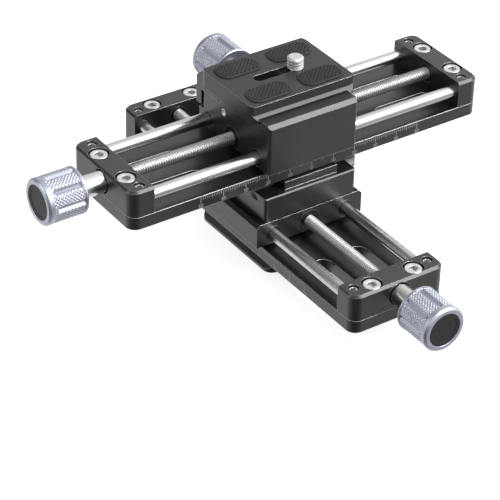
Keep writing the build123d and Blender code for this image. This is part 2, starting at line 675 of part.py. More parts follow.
for side, clamp in clamps.items():
    (offset, floor, jaw_top, lip), (apron, width, screw_shift) = clamp_sizes[side]
    edge = offset + DOVETAIL_WIDTH / 2 + GRIP_GAP
    outer = offset + DOVETAIL_WIDTH / 2 + JAW_WALL
    inner = outer - APRON_THICK
    rise = jaw_top - floor - lip

    # Movable jaw: a tongue in the body's step, a hook over the dovetail and an outer apron.
    with BuildPart() as clamp_jaw:
        with BuildSketch(clamp.offset(-width / 2)):
            with BuildLine():
                Polyline(
                    (inner, apron),
                    (outer, apron),
                    (outer, jaw_top - JAW_CHAMFER),
                    (outer - JAW_CHAMFER, jaw_top),
                    (edge - rise, jaw_top),
                    (edge, floor + lip),
                    (edge, floor - FACE_GAP),
                    (TONGUE_END + TONGUE_GAP, floor - FACE_GAP),
                    (TONGUE_END + TONGUE_GAP, STEP_HEIGHT + RUN),
                    (inner, STEP_HEIGHT + RUN),
                    close=True,
                )
            make_face()
        extrude(amount=width)
        outer_wall = Plane(
            origin=clamp.origin + Vector(0, outer, 0), x_dir=(-1, 0, 0), z_dir=(0, 1, 0)
        )
        with BuildSketch(outer_wall):
            with Locations((-screw_shift, CLAMP_AXIS)):
                Circle(M4_RADIUS + JAW_CLEARANCE)
        extrude(amount=TONGUE_END - outer, mode=Mode.SUBTRACT)
        with BuildSketch(outer_wall.offset(-APRON_THICK)):
            with Locations((-PIN_OFFSET, PIN_HEIGHT), (PIN_OFFSET, PIN_HEIGHT)):
                Circle(PIN_RADIUS + SEAT)
        extrude(amount=PIN_IN_JAW, mode=Mode.SUBTRACT)
    clamp_jaw.part.label = f"{side}_clamp_jaw"
    export_step(clamp_jaw.part, f"parts/{side}_clamp_jaw.step")

    # Guide pins pressed into the jaw's apron, sliding in the body.
    pin_start = outer_wall.offset(PIN_IN_JAW - APRON_THICK)
    with BuildPart() as jaw_guide_pins:
        with BuildSketch(pin_start):
            with Locations((-PIN_OFFSET, PIN_HEIGHT), (PIN_OFFSET, PIN_HEIGHT)):
                Circle(PIN_RADIUS)
        extrude(amount=-PIN_IN_JAW - JAW_OPENING - PIN_REACH)
    jaw_guide_pins.part.label = f"{side}_jaw_guide_pins"
    export_step(jaw_guide_pins.part, f"parts/{side}_jaw_guide_pins.step")

    # Springs round the pins: they push the jaw open from pockets in the body.
    spring_length = SPRING_POCKET + JAW_OPENING - SPRING_GAP - 2 * SPRING_WIRE
    spring_plane = outer_wall.offset(-APRON_THICK - SPRING_GAP - SPRING_WIRE)
    with BuildPart() as jaw_springs:
        for pin_x in (-PIN_OFFSET, PIN_OFFSET):
            foot_of_spring = Plane(
                origin=spring_plane.from_local_coords(Vector(pin_x, PIN_HEIGHT, 0)),
                x_dir=spring_plane.x_dir,
                z_dir=(0, -1, 0),
            )
            coil = Helix(spring_length / SPRING_COILS, spring_length, SPRING_MEAN)
            coil_path = foot_of_spring.location * coil
            wire_face = Plane(origin=coil_path @ 0, z_dir=coil_path % 0)
            with BuildSketch(wire_face):
                Circle(SPRING_WIRE)
            sweep(path=coil_path, is_frenet=True)
    jaw_springs.part.label = f"{side}_jaw_springs"
    export_step(jaw_springs.part, f"parts/{side}_jaw_springs.step")

    # Clamp screw, its polished collar, the knob and the knob's cap.
    clamp_seat = Plane(
        origin=outer_wall.from_local_coords(Vector(-screw_shift, CLAMP_AXIS, CLAMP_COLLAR)),
        x_dir=outer_wall.x_dir,
        z_dir=outer_wall.z_dir,
    )
    with BuildPart() as clamp_screw:
        with BuildSketch(clamp_seat.offset(KNOB_SOCKET)):
            Circle(JOURNAL_RADIUS)
        extrude(amount=-KNOB_SOCKET - CLAMP_COLLAR - CLAMP_SCREW_LENGTH)
    clamp_screw.part.label = f"{side}_clamp_screw"
    export_step(clamp_screw.part, f"parts/{side}_clamp_screw.step")
    with BuildPart() as clamp_collar:
        with BuildSketch(clamp_seat):
            Circle(COLLAR_RADIUS)
            Circle(JOURNAL_RADIUS + SEAT, mode=Mode.SUBTRACT)
        extrude(amount=FACE_GAP - CLAMP_COLLAR)
    clamp_collar.part.label = f"{side}_clamp_collar"
    export_step(clamp_collar.part, f"parts/{side}_clamp_collar.step")
    clamp_knob = fluted_knob(clamp_seat)
    clamp_knob.label = f"{side}_clamp_knob"
    export_step(clamp_knob, f"parts/{side}_clamp_knob.step")
    clamp_cap = knob_cap(clamp_seat)
    clamp_cap.label = f"{side}_clamp_knob_cap"
    export_step(clamp_cap, f"parts/{side}_clamp_knob_cap.step")

# Quick-release plate: a dovetail with a slab on it, a slot for the camera screw and pad pockets.
plate_under = Plane(
    origin=upper_clamp.origin + Vector(PLATE_SHIFT, UPPER_OFFSET, UPPER_FLOOR), x_dir=(1, 0, 0)
)
plate_top = plate_under.offset(PLATE_HEIGHT)
plate_lip_half = DOVETAIL_WIDTH / 2
plate_neck_half = plate_lip_half - PLATE_FLANK
slab_half = PLATE_TOP_WIDTH / 2
slab_under = PLATE_HEIGHT - PLATE_SLAB
pad_places = [(sx * PAD_X, sy * PAD_Y) for sx in (-1, 1) for sy in (-1, 1)]
with BuildPart() as quick_release_plate:
    with BuildSketch(section_of(plate_under).offset(-PLATE_LENGTH / 2)):
        with BuildLine():
            right_side = Polyline(
                (0, 0),
                (plate_lip_half, 0),
                (plate_lip_half, PLATE_LIP),
                (plate_neck_half, PLATE_LIP + PLATE_FLANK),
                (plate_neck_half, slab_under),
                (slab_half, slab_under),
                (slab_half, PLATE_HEIGHT),
                (0, PLATE_HEIGHT),
            )
            mirror(right_side, about=Plane.YZ)
        make_face()
    extrude(amount=PLATE_LENGTH)
    with BuildSketch(plate_under):
        RectangleRounded(PLATE_LENGTH, DOVETAIL_WIDTH, PLATE_CORNER)
    extrude(amount=PLATE_HEIGHT, mode=Mode.INTERSECT)
    with BuildSketch(plate_under):
        with Locations((PLATE_SLOT_SHIFT, 0)):
            SlotOverall(
                PLATE_SLOT_LENGTH - PLATE_SLOT_WIDTH + HEAD_CHANNEL_WIDTH, HEAD_CHANNEL_WIDTH
            )
    extrude(amount=HEAD_CHANNEL_DEPTH, mode=Mode.SUBTRACT)
    with BuildSketch(plate_top):
        with Locations((PLATE_SLOT_SHIFT, 0)):
            SlotOverall(PLATE_SLOT_LENGTH, PLATE_SLOT_WIDTH)
    extrude(amount=-PLATE_HEIGHT, mode=Mode.SUBTRACT)
    with BuildSketch(plate_top):
        with Locations(*pad_places):
            RectangleRounded(PAD_LENGTH + 2 * SEAT, PAD_WIDTH + 2 * SEAT, PAD_CORNER)
    extrude(amount=-PAD_DEPTH, mode=Mode.SUBTRACT)
quick_release_plate.part.label = "quick_release_plate"
export_step(quick_release_plate.part, "parts/quick_release_plate.step")

# Rubber pads that keep the camera from turning.
with BuildPart() as grip_pads:
    with BuildSketch(plate_top.offset(-PAD_DEPTH)):
        with Locations(*pad_places):
            RectangleRounded(PAD_LENGTH, PAD_WIDTH, PAD_CORNER)
    extrude(amount=PAD_DEPTH + PAD_PROUD)
grip_pads.part.label = "grip_pads"
export_step(grip_pads.part, "parts/grip_pads.step")

# Retaining washer and camera screw: the neck slides in the slot, the head hides in the channel.
screw_foot = plate_under.offset(HEAD_CHANNEL_DEPTH - FACE_GAP - WASHER_THICK - CAMERA_HEAD_HEIGHT)
head_top = screw_foot.offset(CAMERA_HEAD_HEIGHT)
thread_foot = plate_top.offset(FACE_GAP)
with BuildPart() as camera_screw_washer:
    with BuildSketch(head_top):
        with Locations((CAMERA_SCREW_X, 0)):
            Circle(WASHER_RADIUS)
            Circle(CAMERA_NECK_RADIUS + FACE_GAP, mode=Mode.SUBTRACT)
    extrude(amount=WASHER_THICK)
camera_screw_washer.part.label = "camera_screw_washer"
export_step(camera_screw_washer.part, "parts/camera_screw_washer.step")

with BuildPart() as camera_screw:
    with BuildSketch(screw_foot):
        with Locations((CAMERA_SCREW_X, 0)):
            Circle(CAMERA_HEAD_RADIUS)
    extrude(amount=CAMERA_HEAD_HEIGHT)
    with BuildSketch(head_top):
        with Locations((CAMERA_SCREW_X, 0)):
            Circle(CAMERA_NECK_RADIUS)
    extrude(amount=thread_foot.origin.Z - head_top.origin.Z)
    with BuildSketch(thread_foot):
        with Locations((CAMERA_SCREW_X, 0)):
            Circle(CAMERA_THREAD_RADIUS)
    extrude(amount=CAMERA_THREAD_LENGTH)
    chamfer(camera_screw.faces().sort_by(Axis.Z)[-1].edges(), EDGE_BREAK)
    with BuildSketch(screw_foot):
        with Locations((CAMERA_SCREW_X, 0)):
            RegularPolygon(CAMERA_KEY / 2, 6, major_radius=False)
    extrude(amount=SOCKET_DEPTH, mode=Mode.SUBTRACT)
camera_screw.part.label = "camera_screw"
export_step(camera_screw.part, "parts/camera_screw.step")
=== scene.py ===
"""Looks of the macro focusing rail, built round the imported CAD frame. Lengths are in metres."""
import math

import bmesh
import bpy
from mathutils import Matrix, Vector


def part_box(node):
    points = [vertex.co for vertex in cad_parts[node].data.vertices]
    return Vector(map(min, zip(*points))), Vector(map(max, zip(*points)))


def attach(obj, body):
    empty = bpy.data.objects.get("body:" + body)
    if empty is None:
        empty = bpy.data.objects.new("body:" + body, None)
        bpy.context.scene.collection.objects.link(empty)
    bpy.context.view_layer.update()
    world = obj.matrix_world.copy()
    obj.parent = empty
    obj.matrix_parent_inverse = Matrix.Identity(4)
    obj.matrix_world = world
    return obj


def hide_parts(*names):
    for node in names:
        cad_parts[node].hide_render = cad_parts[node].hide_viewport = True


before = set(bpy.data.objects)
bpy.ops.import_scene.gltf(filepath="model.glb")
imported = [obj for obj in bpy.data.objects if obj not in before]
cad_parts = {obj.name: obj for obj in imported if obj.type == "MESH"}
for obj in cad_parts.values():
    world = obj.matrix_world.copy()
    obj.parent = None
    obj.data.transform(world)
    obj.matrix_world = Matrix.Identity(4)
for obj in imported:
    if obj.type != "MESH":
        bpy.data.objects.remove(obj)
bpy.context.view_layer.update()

# Base plates. Each is a flat aluminium bar with two slots at each end, milled all over,
# blasted and anodised black. The end blocks stand on it; its broken edges carry a painted
# highlight.
MM = 0.001
SIDES = ("lower", "upper")


def add(tree, kind, inputs=(), **settings):
    """Adds a node. Each of its inputs takes a socket to join or a plain value."""
    node = tree.nodes.new(kind)
    for name, value in settings.items():
        setattr(node, name, value)
    for key, value in dict(inputs).items():
        if isinstance(value, bpy.types.NodeSocket):
            tree.links.new(value, node.inputs[key])
        else:
            node.inputs[key].default_value = value
    return node


def maths(tree, operation, *values):
    """Result of a Math node on sockets and numbers."""
    return add(tree, "ShaderNodeMath", dict(enumerate(values)), operation=operation).outputs[0]


def ramp(tree, value, low, high, start=0.0, end=1.0):
    """Value from low to high carried over to start to end, and held beyond them."""
    scaled = add(
        tree,
        "ShaderNodeMapRange",
        {"Value": value, "From Min": low, "From Max": high, "To Min": start, "To Max": end},
    )
    return scaled.outputs["Result"]


def mixed(tree, factor, first, second):
    """Colour between two others."""
    mix = add(tree, "ShaderNodeMix", {0: factor, 6: first, 7: second}, data_type="RGBA")
    return mix.outputs[2]


def noise(tree, scale, detail):
    """Noise on the object's own coordinates."""
    place = add(tree, "ShaderNodeTexCoord").outputs["Object"]
    made = add(tree, "ShaderNodeTexNoise", {"Vector": place, "Scale": scale, "Detail": detail})
    return made.outputs["Fac"]


CLOUD_SCALE = 60
GRAIN_SCALE = 3800
GRAIN_HEIGHT = 0.02 * MM
EDGE_SAMPLES = 6
EDGE_STARTS = 0.985  # cosine of the angle from the flat face to the rounded edge
# Cosine at which the painted edge highlight is at full strength.
EDGE_FULLY_LIT = 0.86


def metal(name, dark, light, rough, metallic, grain, edge=None, socket=None):
    """Finish: cloudy tone between dark and light, fine grain, painted edge highlights and painted
    shade in sockets.

    The edge is the colour of a painted highlight and the width in metres over which edges are
    painted with it, lighter and metallic.
    The socket is the colour of painted shade, laid where a piece's own socket attribute is 1.
    """
    material = bpy.data.materials.new(name)
    material.use_nodes = True
    tree = material.node_tree
    surface = tree.nodes["Principled BSDF"]
    surface.inputs["Metallic"].default_value = metallic
    cloud = noise(tree, CLOUD_SCALE, 4)
    fine = noise(tree, GRAIN_SCALE, 2)
    tone = mixed(tree, ramp(tree, cloud, 0.35, 0.65), (*dark, 1), (*light, 1))
    low, high = rough
    tree.links.new(ramp(tree, fine, 0.3, 0.7, low, high), surface.inputs["Roughness"])
    bump = {"Height": fine, "Strength": grain, "Distance": GRAIN_HEIGHT}
    # Sockets take the socket colour where the attribute is 1: painted shade inside them.
    if socket:
        depth = add(tree, "ShaderNodeAttribute", attribute_name="socket").outputs["Fac"]
        tone = mixed(tree, depth, tone, (*socket, 1))
    # Edges are painted lighter and metallic over the given width: a painted highlight along every
    # broken edge.
    if edge:
        colour, width = edge
        rounded = add(tree, "ShaderNodeBevel", {"Radius": width}, samples=EDGE_SAMPLES).outputs[0]
        flat = add(tree, "ShaderNodeNewGeometry").outputs["True Normal"]
        along = add(tree, "ShaderNodeVectorMath", {0: rounded, 1: flat}, operation="DOT_PRODUCT")
        edge_highlight = ramp(tree, along.outputs["Value"], EDGE_STARTS, EDGE_FULLY_LIT)
        tone = mixed(tree, edge_highlight, tone, (*colour, 1))
        tree.links.new(ramp(tree, edge_highlight, 0, 1, metallic, 1), surface.inputs["Metallic"])
        bump["Normal"] = rounded
    tree.links.new(tone, surface.inputs["Base Color"])
    tree.links.new(add(tree, "ShaderNodeBump", bump).outputs[0], surface.inputs["Normal"])
    return material


BLACK = (0.008, 0.008, 0.0085)
BLACK_WORN = (0.014, 0.014, 0.015)
# Colour of the painted highlight along broken edges, lighter and metallic.
EDGE_HIGHLIGHT_COLOUR = (0.6, 0.6, 0.61)
OXIDE_IOR = 1.76


def anodised(name, rough, edge_width, ior=OXIDE_IOR):
    """Black dyed aluminium: its clear oxide skin reflects more than paint does."""
    # Its broken edges carry a painted highlight, lighter and metallic.
    material = metal(name, BLACK, BLACK_WORN, rough, 0.0, 0.3, (EDGE_HIGHLIGHT_COLOUR, edge_width))
    material.node_tree.nodes["Principled BSDF"].inputs["IOR"].default_value = ior
    return material


def dress(node, material):
    """Gives a CAD node its finish."""
    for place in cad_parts[node].material_slots:
        place.material = material


black_bar = anodised("black_anodised_bar", (0.27, 0.36), 0.4 * MM)
for side in SIDES:
    dress(f"{side}_base_plate", black_bar)

# End blocks. Each is an aluminium block screwed on the base, with its outer corners rounded.
# It is blasted and anodised as the base is, and a machined chamfer runs round its top.
black_block = anodised("black_anodised_block", (0.28, 0.38), 0.24 * MM)
for side in SIDES:
    dress(f"{side}_front_block", black_block)
    dress(f"{side}_rear_block", black_block)

# Guide rods. Two centreless-ground steel bars to a rail, pressed into the blocks.
# They are bare, hardened and polished, with their ends chamfered.
RAIL_AXES = {"lower": Vector((0, 1, 0)), "upper": Vector((1, 0, 0))}
ROD_CHAMFER = 0.3 * MM


def place_mesh(name, mesh):
    """New object of a mesh, in the scene."""
    made = bpy.data.objects.new(name, mesh)
    bpy.context.scene.collection.objects.link(made)
    return made


def finish_shape(name, shape):
    """Object of a closed shape, with its seams welded and its normals outward."""
    bmesh.ops.remove_doubles(shape, verts=shape.verts, dist=1e-7)
    bmesh.ops.recalc_face_normals(shape, faces=shape.faces)
    mesh = bpy.data.meshes.new(name)
    shape.to_mesh(mesh)
    shape.free()
    return place_mesh(name, mesh)


def lathe(name, profile, around=64):
    """Turned piece about Z. The profile lists radius, height and, if any, a number of flats.

    Rings with flats are sockets, and carry the attribute that paints shade into them.
    """
    shape = bmesh.new()
    sunk = shape.verts.layers.float.new("socket")
    rings = []
    for radius, height, *flats in profile:
        ring = []
        for step in range(around):
            angle = math.tau * step / around
            reach = radius
            if flats:
                half_flat = math.pi / flats[0]
                reach = radius / math.cos(angle % (2 * half_flat) - half_flat)
            corner = shape.verts.new((reach * math.cos(angle), reach * math.sin(angle), height))
            corner[sunk] = 1.0 if flats else 0.0
            ring.append(corner)
        rings.append(ring)
    for lower, upper in zip(rings, rings[1:]):
        for step in range(around):
            shape.faces.new((lower[step - 1], lower[step], upper[step], upper[step - 1]))
    return finish_shape(name, shape)


def stand(piece, foot, axis):
    """Stands a piece made about Z at foot, along axis, with its X level."""
    upward = Vector(axis).normalized()
    level = Vector((0, 0, 1)).cross(upward) if abs(upward.z) < 0.9 else Vector((1, 0, 0))
    level.normalize()
    axes = Matrix((level, upward.cross(level), upward)).transposed().to_4x4()
    piece.data.transform(Matrix.Translation(foot) @ axes)


def keep(piece, body, node, material, angle=32.0):
    """Ends a piece: smooth shading up to an angle, its finish, its body and what it stands for."""
    if material:
        piece.data.materials.clear()
        piece.data.materials.append(material)
    piece.data.shade_smooth()
    piece.data.set_sharp_from_angle(angle=math.radians(angle))
    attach(piece, body)
    if node:
        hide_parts(node)


def join(name, parts):
    """One object from several."""
    shape = bmesh.new()
    for part in parts:
        shape.from_mesh(part.data)
        bpy.data.objects.remove(part)
    return finish_shape(name, shape)


rod_steel = metal(
    "ground_rod_steel", (0.62, 0.62, 0.63), (0.7, 0.7, 0.71), (0.2, 0.27), 1.0, 0.03
)
for side, axis in RAIL_AXES.items():
    low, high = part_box(f"{side}_guide_rods")
    across = Vector((1, 1, 0)) - axis
    length = (high - low).dot(axis)
    radius = (high.z - low.z) / 2
    reach = (high - low).dot(across) / 2 - radius
    middle = (low + high) / 2
    profile = (
        (0, 0),
        (radius - ROD_CHAMFER, 0),
        (radius, ROD_CHAMFER),
        (radius, length - ROD_CHAMFER),
        (radius - ROD_CHAMFER, length),
        (0, length),
    )
    rods = [lathe("rod", profile), lathe("rod", profile)]
    for sign, rod in zip((-1, 1), rods):
        stand(rod, middle + sign * reach * across - axis * length / 2, axis)
    both = join(f"{side}_rods", rods)
    keep(both, f"{side}_rail", f"{side}_guide_rods", rod_steel)

# Cap screws and set screws. Socket head screws of plated steel hold the end blocks, each sunk
# in a black counterbore, and a small set screw beside it locks each rod. They are bought parts.
M4_SHANK = 2.0 * MM
M4_KEY = 3.0 * MM
M4_HEAD = 4.0 * MM
HEAD_EDGE = 0.35 * MM
SOCKET_EDGE = 0.2 * MM
SOCKET_DEPTH = 0.35  # of the head's height
SCREW_AROUND = 48
SET_KEY = 2.0 * MM
SET_EDGE = 0.4 * MM
SET_CLEARANCE = 0.1 * MM


def new_tree(name, sockets):
    """Empty Geometry Nodes tree with named inputs; returns it with its input and output nodes."""
    tree = bpy.data.node_groups.new(name, "GeometryNodeTree")
    tree.interface.new_socket("Geometry", in_out="INPUT", socket_type="NodeSocketGeometry")
    for label, kind in sockets.items():
        tree.interface.new_socket(label, in_out="INPUT", socket_type=f"NodeSocket{kind}")
    tree.interface.new_socket("Result", in_out="OUTPUT", socket_type="NodeSocketGeometry")
    given = tree.nodes.new("NodeGroupInput").outputs
    return tree, given, tree.nodes.new("NodeGroupOutput")


def end_tree(tree, geometry, given, result):
    """Ends a tree: what it made is real geometry, in the finish that it is given."""
    real = add(tree, "GeometryNodeRealizeInstances", {0: geometry}).outputs[0]
    dressed = {"Geometry": real, "Material": given["Finish"]}
    last = add(tree, "GeometryNodeSetMaterial", dressed).outputs[0]
    tree.links.new(last, result.inputs[0])


def grow(name, piece, tree, values):
    """Runs a Geometry Nodes tree on a piece and keeps the result as a plain mesh."""
    modifier = piece.modifiers.new("grow", "NODES")
    modifier.node_group = tree
    for label, value in values.items():
        modifier[tree.interface.items_tree[label].identifier] = value
    bpy.context.view_layer.update()
    seen = piece.evaluated_get(bpy.context.evaluated_depsgraph_get())
    mesh = bpy.data.meshes.new_from_object(seen)
    bpy.data.objects.remove(piece)
    mesh.name = name
    return place_mesh(name, mesh)


def points(places):
    """Loose points for a tree to put things on."""
    mesh = bpy.data.meshes.new("places")
    mesh.from_pydata(places, [], [])
    return place_mesh("places", mesh)


scatter, given, result = new_tree(
    "set_on_places", {"Piece": "Object", "Turn": "Float", "Tip": "Float", "Finish": "Material"}
)
piece_info = add(scatter, "GeometryNodeObjectInfo", {"Object": given["Piece"]})
spread = add(
    scatter,
    "FunctionNodeRandomValue",
    {2: 0.0, 3: given["Turn"], "Seed": 4},
    data_type="FLOAT",
).outputs[1]
turned = add(scatter, "ShaderNodeCombineXYZ", {"X": given["Tip"], "Z": spread}).outputs[0]
instances = add(
    scatter,
    "GeometryNodeInstanceOnPoints",
    {
        "Points": given["Geometry"],
        "Instance": piece_info.outputs["Geometry"],
        "Rotation": turned,
    },
).outputs[0]
end_tree(scatter, instances, given, result)

screw_steel = metal(
    "plated_screw_steel",
    (0.78, 0.78, 0.79),
    (0.86, 0.86, 0.86),
    (0.4, 0.5),
    1.0,
    0.04,
    # Mid grey painted into the hex sockets: painted shade.
    socket=(0.5, 0.5, 0.51),
)


def solids_of(node):
    """Box of each separate solid of a CAD node, as (lowest, highest) corners."""
    shape = bmesh.new()
    shape.from_mesh(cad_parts[node].data)
    bmesh.ops.remove_doubles(shape, verts=shape.verts, dist=1e-6)
    boxes = []
    left = set(shape.verts)
    while left:
        front = [left.pop()]
        solid = list(front)
        while front:
            for edge in front.pop().link_edges:
                for vertex in edge.verts:
                    if vertex in left:
                        left.remove(vertex)
                        front.append(vertex)
                        solid.append(vertex)
        low = Vector([min(v.co[k] for v in solid) for k in range(3)])
        high = Vector([max(v.co[k] for v in solid) for k in range(3)])
        boxes.append((low, high))
    shape.free()
    return sorted(boxes, key=lambda box: tuple(box[0]))


def socket_head(radius, head, length):
    """Socket head cap screw about Z with the top of its head at height 0."""
    floor = -SOCKET_DEPTH * head
    return lathe(
        "screw",
        (
            (0, floor - 0.3 * MM),
            (M4_KEY / 2, floor, 6),
            (M4_KEY / 2, -SOCKET_EDGE, 6),
            (M4_KEY / 2 + HEAD_EDGE, 0),
            (radius - HEAD_EDGE, 0),
            (radius, -HEAD_EDGE),
            (radius, 0.1 * MM - head),
            (radius - 0.1 * MM, -head),
            (M4_SHANK, -head),
            (M4_SHANK, 0.4 * MM - length),
            (M4_SHANK - 0.4 * MM, -length),
            (0, -length),
        ),
        SCREW_AROUND,
    )


def set_out(name, piece, places, tip=0.0):
    """Puts a screw on each place, each turned its own way, and removes the pattern."""
    values = {"Piece": piece, "Turn": 1.0, "Tip": tip, "Finish": screw_steel}
    made = grow(name, points(places), scatter, values)
    bpy.data.objects.remove(piece)
    return made


def fit_screws(name, node, body, head, tip=0.0):
    """Puts a socket head screw in the place of each solid of a CAD node of screws.

    A tip of half a turn stands them on their heads, to go in from below.
    """
    boxes = solids_of(node)
    low, high = boxes[0]
    screw = socket_head((high.x - low.x) / 2, head, high.z - low.z)
    top = low.z if tip else high.z
    places = [((a.x + b.x) / 2, (a.y + b.y) / 2, top) for a, b in boxes]
    keep(set_out(name, screw, places, tip), body, node, None)


for side in SIDES:
    fit_screws(f"{side}_end_screws", f"{side}_block_screws", f"{side}_rail", M4_HEAD)
    boxes = solids_of(f"{side}_rod_set_screws")
    low, high = boxes[0]
    radius = (high.x - low.x) / 2
    deep = high.z - low.z
    thread_radius = radius - SET_CLEARANCE
    set_screw = lathe(
        "set_screw",
        (
            (0, -0.75 * deep),
            (SET_KEY / 2, -0.7 * deep, 6),
            (SET_KEY / 2, -SET_CLEARANCE, 6),
            (SET_KEY / 2 + 0.15 * MM, 0),
            (radius - 0.5 * MM, 0),
            (thread_radius, -SET_EDGE),
            (thread_radius, 0.3 * MM - deep),
            (radius - SET_EDGE, -deep),
            (0, -deep),
        ),
        SCREW_AROUND,
    )
    places = [((a.x + b.x) / 2, (a.y + b.y) / 2, b.z) for a, b in boxes]
    made = set_out(f"{side}_rod_locks", set_screw, places)
    keep(made, f"{side}_rail", f"{side}_rod_set_screws", None)

# Feet. Each is a dovetail of black anodised aluminium under its base, held by four screws from
# below, with a tripod thread in its middle. The lower one is what the rail stands on.
FOOT_HEAD = 3.0 * MM
for side in SIDES:
    dress(f"{side}_foot", black_block)
    fit_screws(
        f"{side}_foot_bolts", f"{side}_foot_screws", f"{side}_rail", FOOT_HEAD, math.pi
    )

# Bearings, bushings and nuts. They are plain bronze bushes pressed into the blocks and the
# carriages, turned and left bare, and only their end faces show round the rods.
# Painted near black: painted shade round the rods and screws. Its edges carry a painted highlight
# ring.
bronze = metal(
    "bronze_with_painted_shade",
    (0.05, 0.048, 0.045),
    (0.09, 0.085, 0.08),
    (0.3, 0.42),
    1.0,
    0.15,
    ((0.32, 0.31, 0.29), 0.2 * MM),
)
for side in SIDES:
    dress(f"{side}_screw_bearings", bronze)
    dress(f"{side}_carriage_bushings", bronze)
    dress(f"{side}_drive_nut", bronze)

# Lead screws. Each is a rolled steel screw with a trapezoidal thread of 1 mm pitch between two
# turned journals, one of which runs on through the collar into the drive knob.
LEAD_PITCH = 1.0 * MM
THREAD_DEPTH = 0.42 * MM
CREST_END = 0.34  # of the way from the middle of the crest to that of the root
ROOT_START = 0.66
THREAD_RUN_OUT = 0.4 * MM
JOURNAL = 2.0 * MM
JOURNAL_CHAMFER = 0.3 * MM
WALL_TOLERANCE = 0.01 * MM
LEAD_AROUND = 40
LEAD_CUTS = 12  # to a turn


def turned_place(tree):
    """Place of each point of a turned piece: x, y, z and the distance from its axis."""
    place = add(tree, "GeometryNodeInputPosition").outputs[0]
    x, y, z = add(tree, "ShaderNodeSeparateXYZ", {0: place}).outputs
    squares = maths(tree, "ADD", maths(tree, "MULTIPLY", x, x), maths(tree, "MULTIPLY", y, y))
    return x, y, z, maths(tree, "SQRT", squares)


thread, given, result = new_tree(
    "thread",
    {
        "Radius": "Float",
        "Pitch": "Float",
        "Depth": "Float",
        "Start": "Float",
        "End": "Float",
        "Finish": "Material",
    },
)
x, y, z, reach = turned_place(thread)
angle = maths(thread, "DIVIDE", maths(thread, "ARCTAN2", y, x), math.tau)
turns = maths(thread, "SUBTRACT", maths(thread, "DIVIDE", z, given["Pitch"]), angle)
crest = maths(thread, "MULTIPLY", maths(thread, "PINGPONG", turns, 0.5), 2.0)
cut = maths(thread, "MULTIPLY", ramp(thread, crest, CREST_END, ROOT_START), given["Depth"])
lead_in = maths(thread, "SUBTRACT", z, given["Start"])
lead_out = maths(thread, "SUBTRACT", given["End"], z)
near_end = maths(thread, "MINIMUM", lead_in, lead_out)
cut = maths(thread, "MULTIPLY", cut, ramp(thread, near_end, 0.0, THREAD_RUN_OUT))
wall_start = maths(thread, "SUBTRACT", given["Radius"], WALL_TOLERANCE)
outside = maths(thread, "GREATER_THAN", reach, wall_start)
cut = maths(thread, "MULTIPLY", cut, outside)
inward = add(thread, "ShaderNodeCombineXYZ", {"X": x, "Y": y}).outputs[0]
inward = add(thread, "ShaderNodeVectorMath", {0: inward}, operation="NORMALIZE").outputs[0]
shift = add(
    thread,
    "ShaderNodeVectorMath",
    {0: inward, "Scale": maths(thread, "MULTIPLY", cut, -1.0)},
    operation="SCALE",
).outputs[0]
moved = add(
    thread, "GeometryNodeSetPosition", {"Geometry": given["Geometry"], "Offset": shift}
).outputs[0]
end_tree(thread, moved, given, result)

screw_metal = metal(
    "rolled_screw_steel", (0.5, 0.5, 0.51), (0.58, 0.58, 0.58), (0.38, 0.46), 1.0, 0.05
)


def threaded(before, wall, pitch, after, around, cuts):
    """Turned piece with a wall for a thread between the profiles before and after it.

    The rows of the wall climb with the thread, cuts to a turn, so that it is cut cleanly.
    """
    radius, start, end = wall
    shape = bmesh.new()
    rows = []
    for row in range(-cuts, math.ceil((end - start) / pitch * cuts) + 2):
        ring = []
        for step in range(around):
            angle = math.tau * step / around
            height = start + (row / cuts + step / around) * pitch
            height = min(max(height, start), end)
            corner = (radius * math.cos(angle), radius * math.sin(angle), height)
            ring.append(shape.verts.new(corner))
        rows.append(ring)
    for lower, upper in zip(rows, rows[1:]):
        for step in range(1, around):
            shape.faces.new((lower[step - 1], lower[step], upper[step], upper[step - 1]))
    for row in range(len(rows) - 1 - cuts):
        last, above = rows[row][-1], rows[row + 1][-1]
        shape.faces.new((last, rows[row + cuts][0], rows[row + cuts + 1][0], above))
    mesh = bpy.data.meshes.new("wall")
    shape.to_mesh(mesh)
    shape.free()
    sides = [lathe("side", [*before, (radius, start)], around)]
    sides.append(lathe("side", [(radius, end), *after], around))
    return join("blank", [bpy.data.objects.new("wall", mesh), *sides])


for side, axis in RAIL_AXES.items():
    low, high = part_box(f"{side}_lead_screw")
    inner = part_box(f"{side}_front_block")[1].dot(axis)
    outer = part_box(f"{side}_rear_block")[0].dot(axis)
    radius = (high.z - low.z) / 2
    length = (high - low).dot(axis)
    start = inner - low.dot(axis)
    end = outer - low.dot(axis)
    before = [
        (0, 0),
        (JOURNAL - JOURNAL_CHAMFER, 0),
        (JOURNAL, JOURNAL_CHAMFER),
        (JOURNAL, start),
    ]
    after = [(JOURNAL, end), (JOURNAL, length), (0, length)]
    made = grow(
        f"{side}_screw",
        threaded(before, (radius, start, end), LEAD_PITCH, after, LEAD_AROUND, LEAD_CUTS),
        thread,
        {
            "Radius": radius,
            "Pitch": LEAD_PITCH,
            "Depth": THREAD_DEPTH,
            "Start": start,
            "End": end,
            "Finish": screw_metal,
        },
    )
    stand(made, (low + high) / 2 - axis * length / 2, axis)
    keep(made, f"{side}_screw", f"{side}_lead_screw", None, 50)

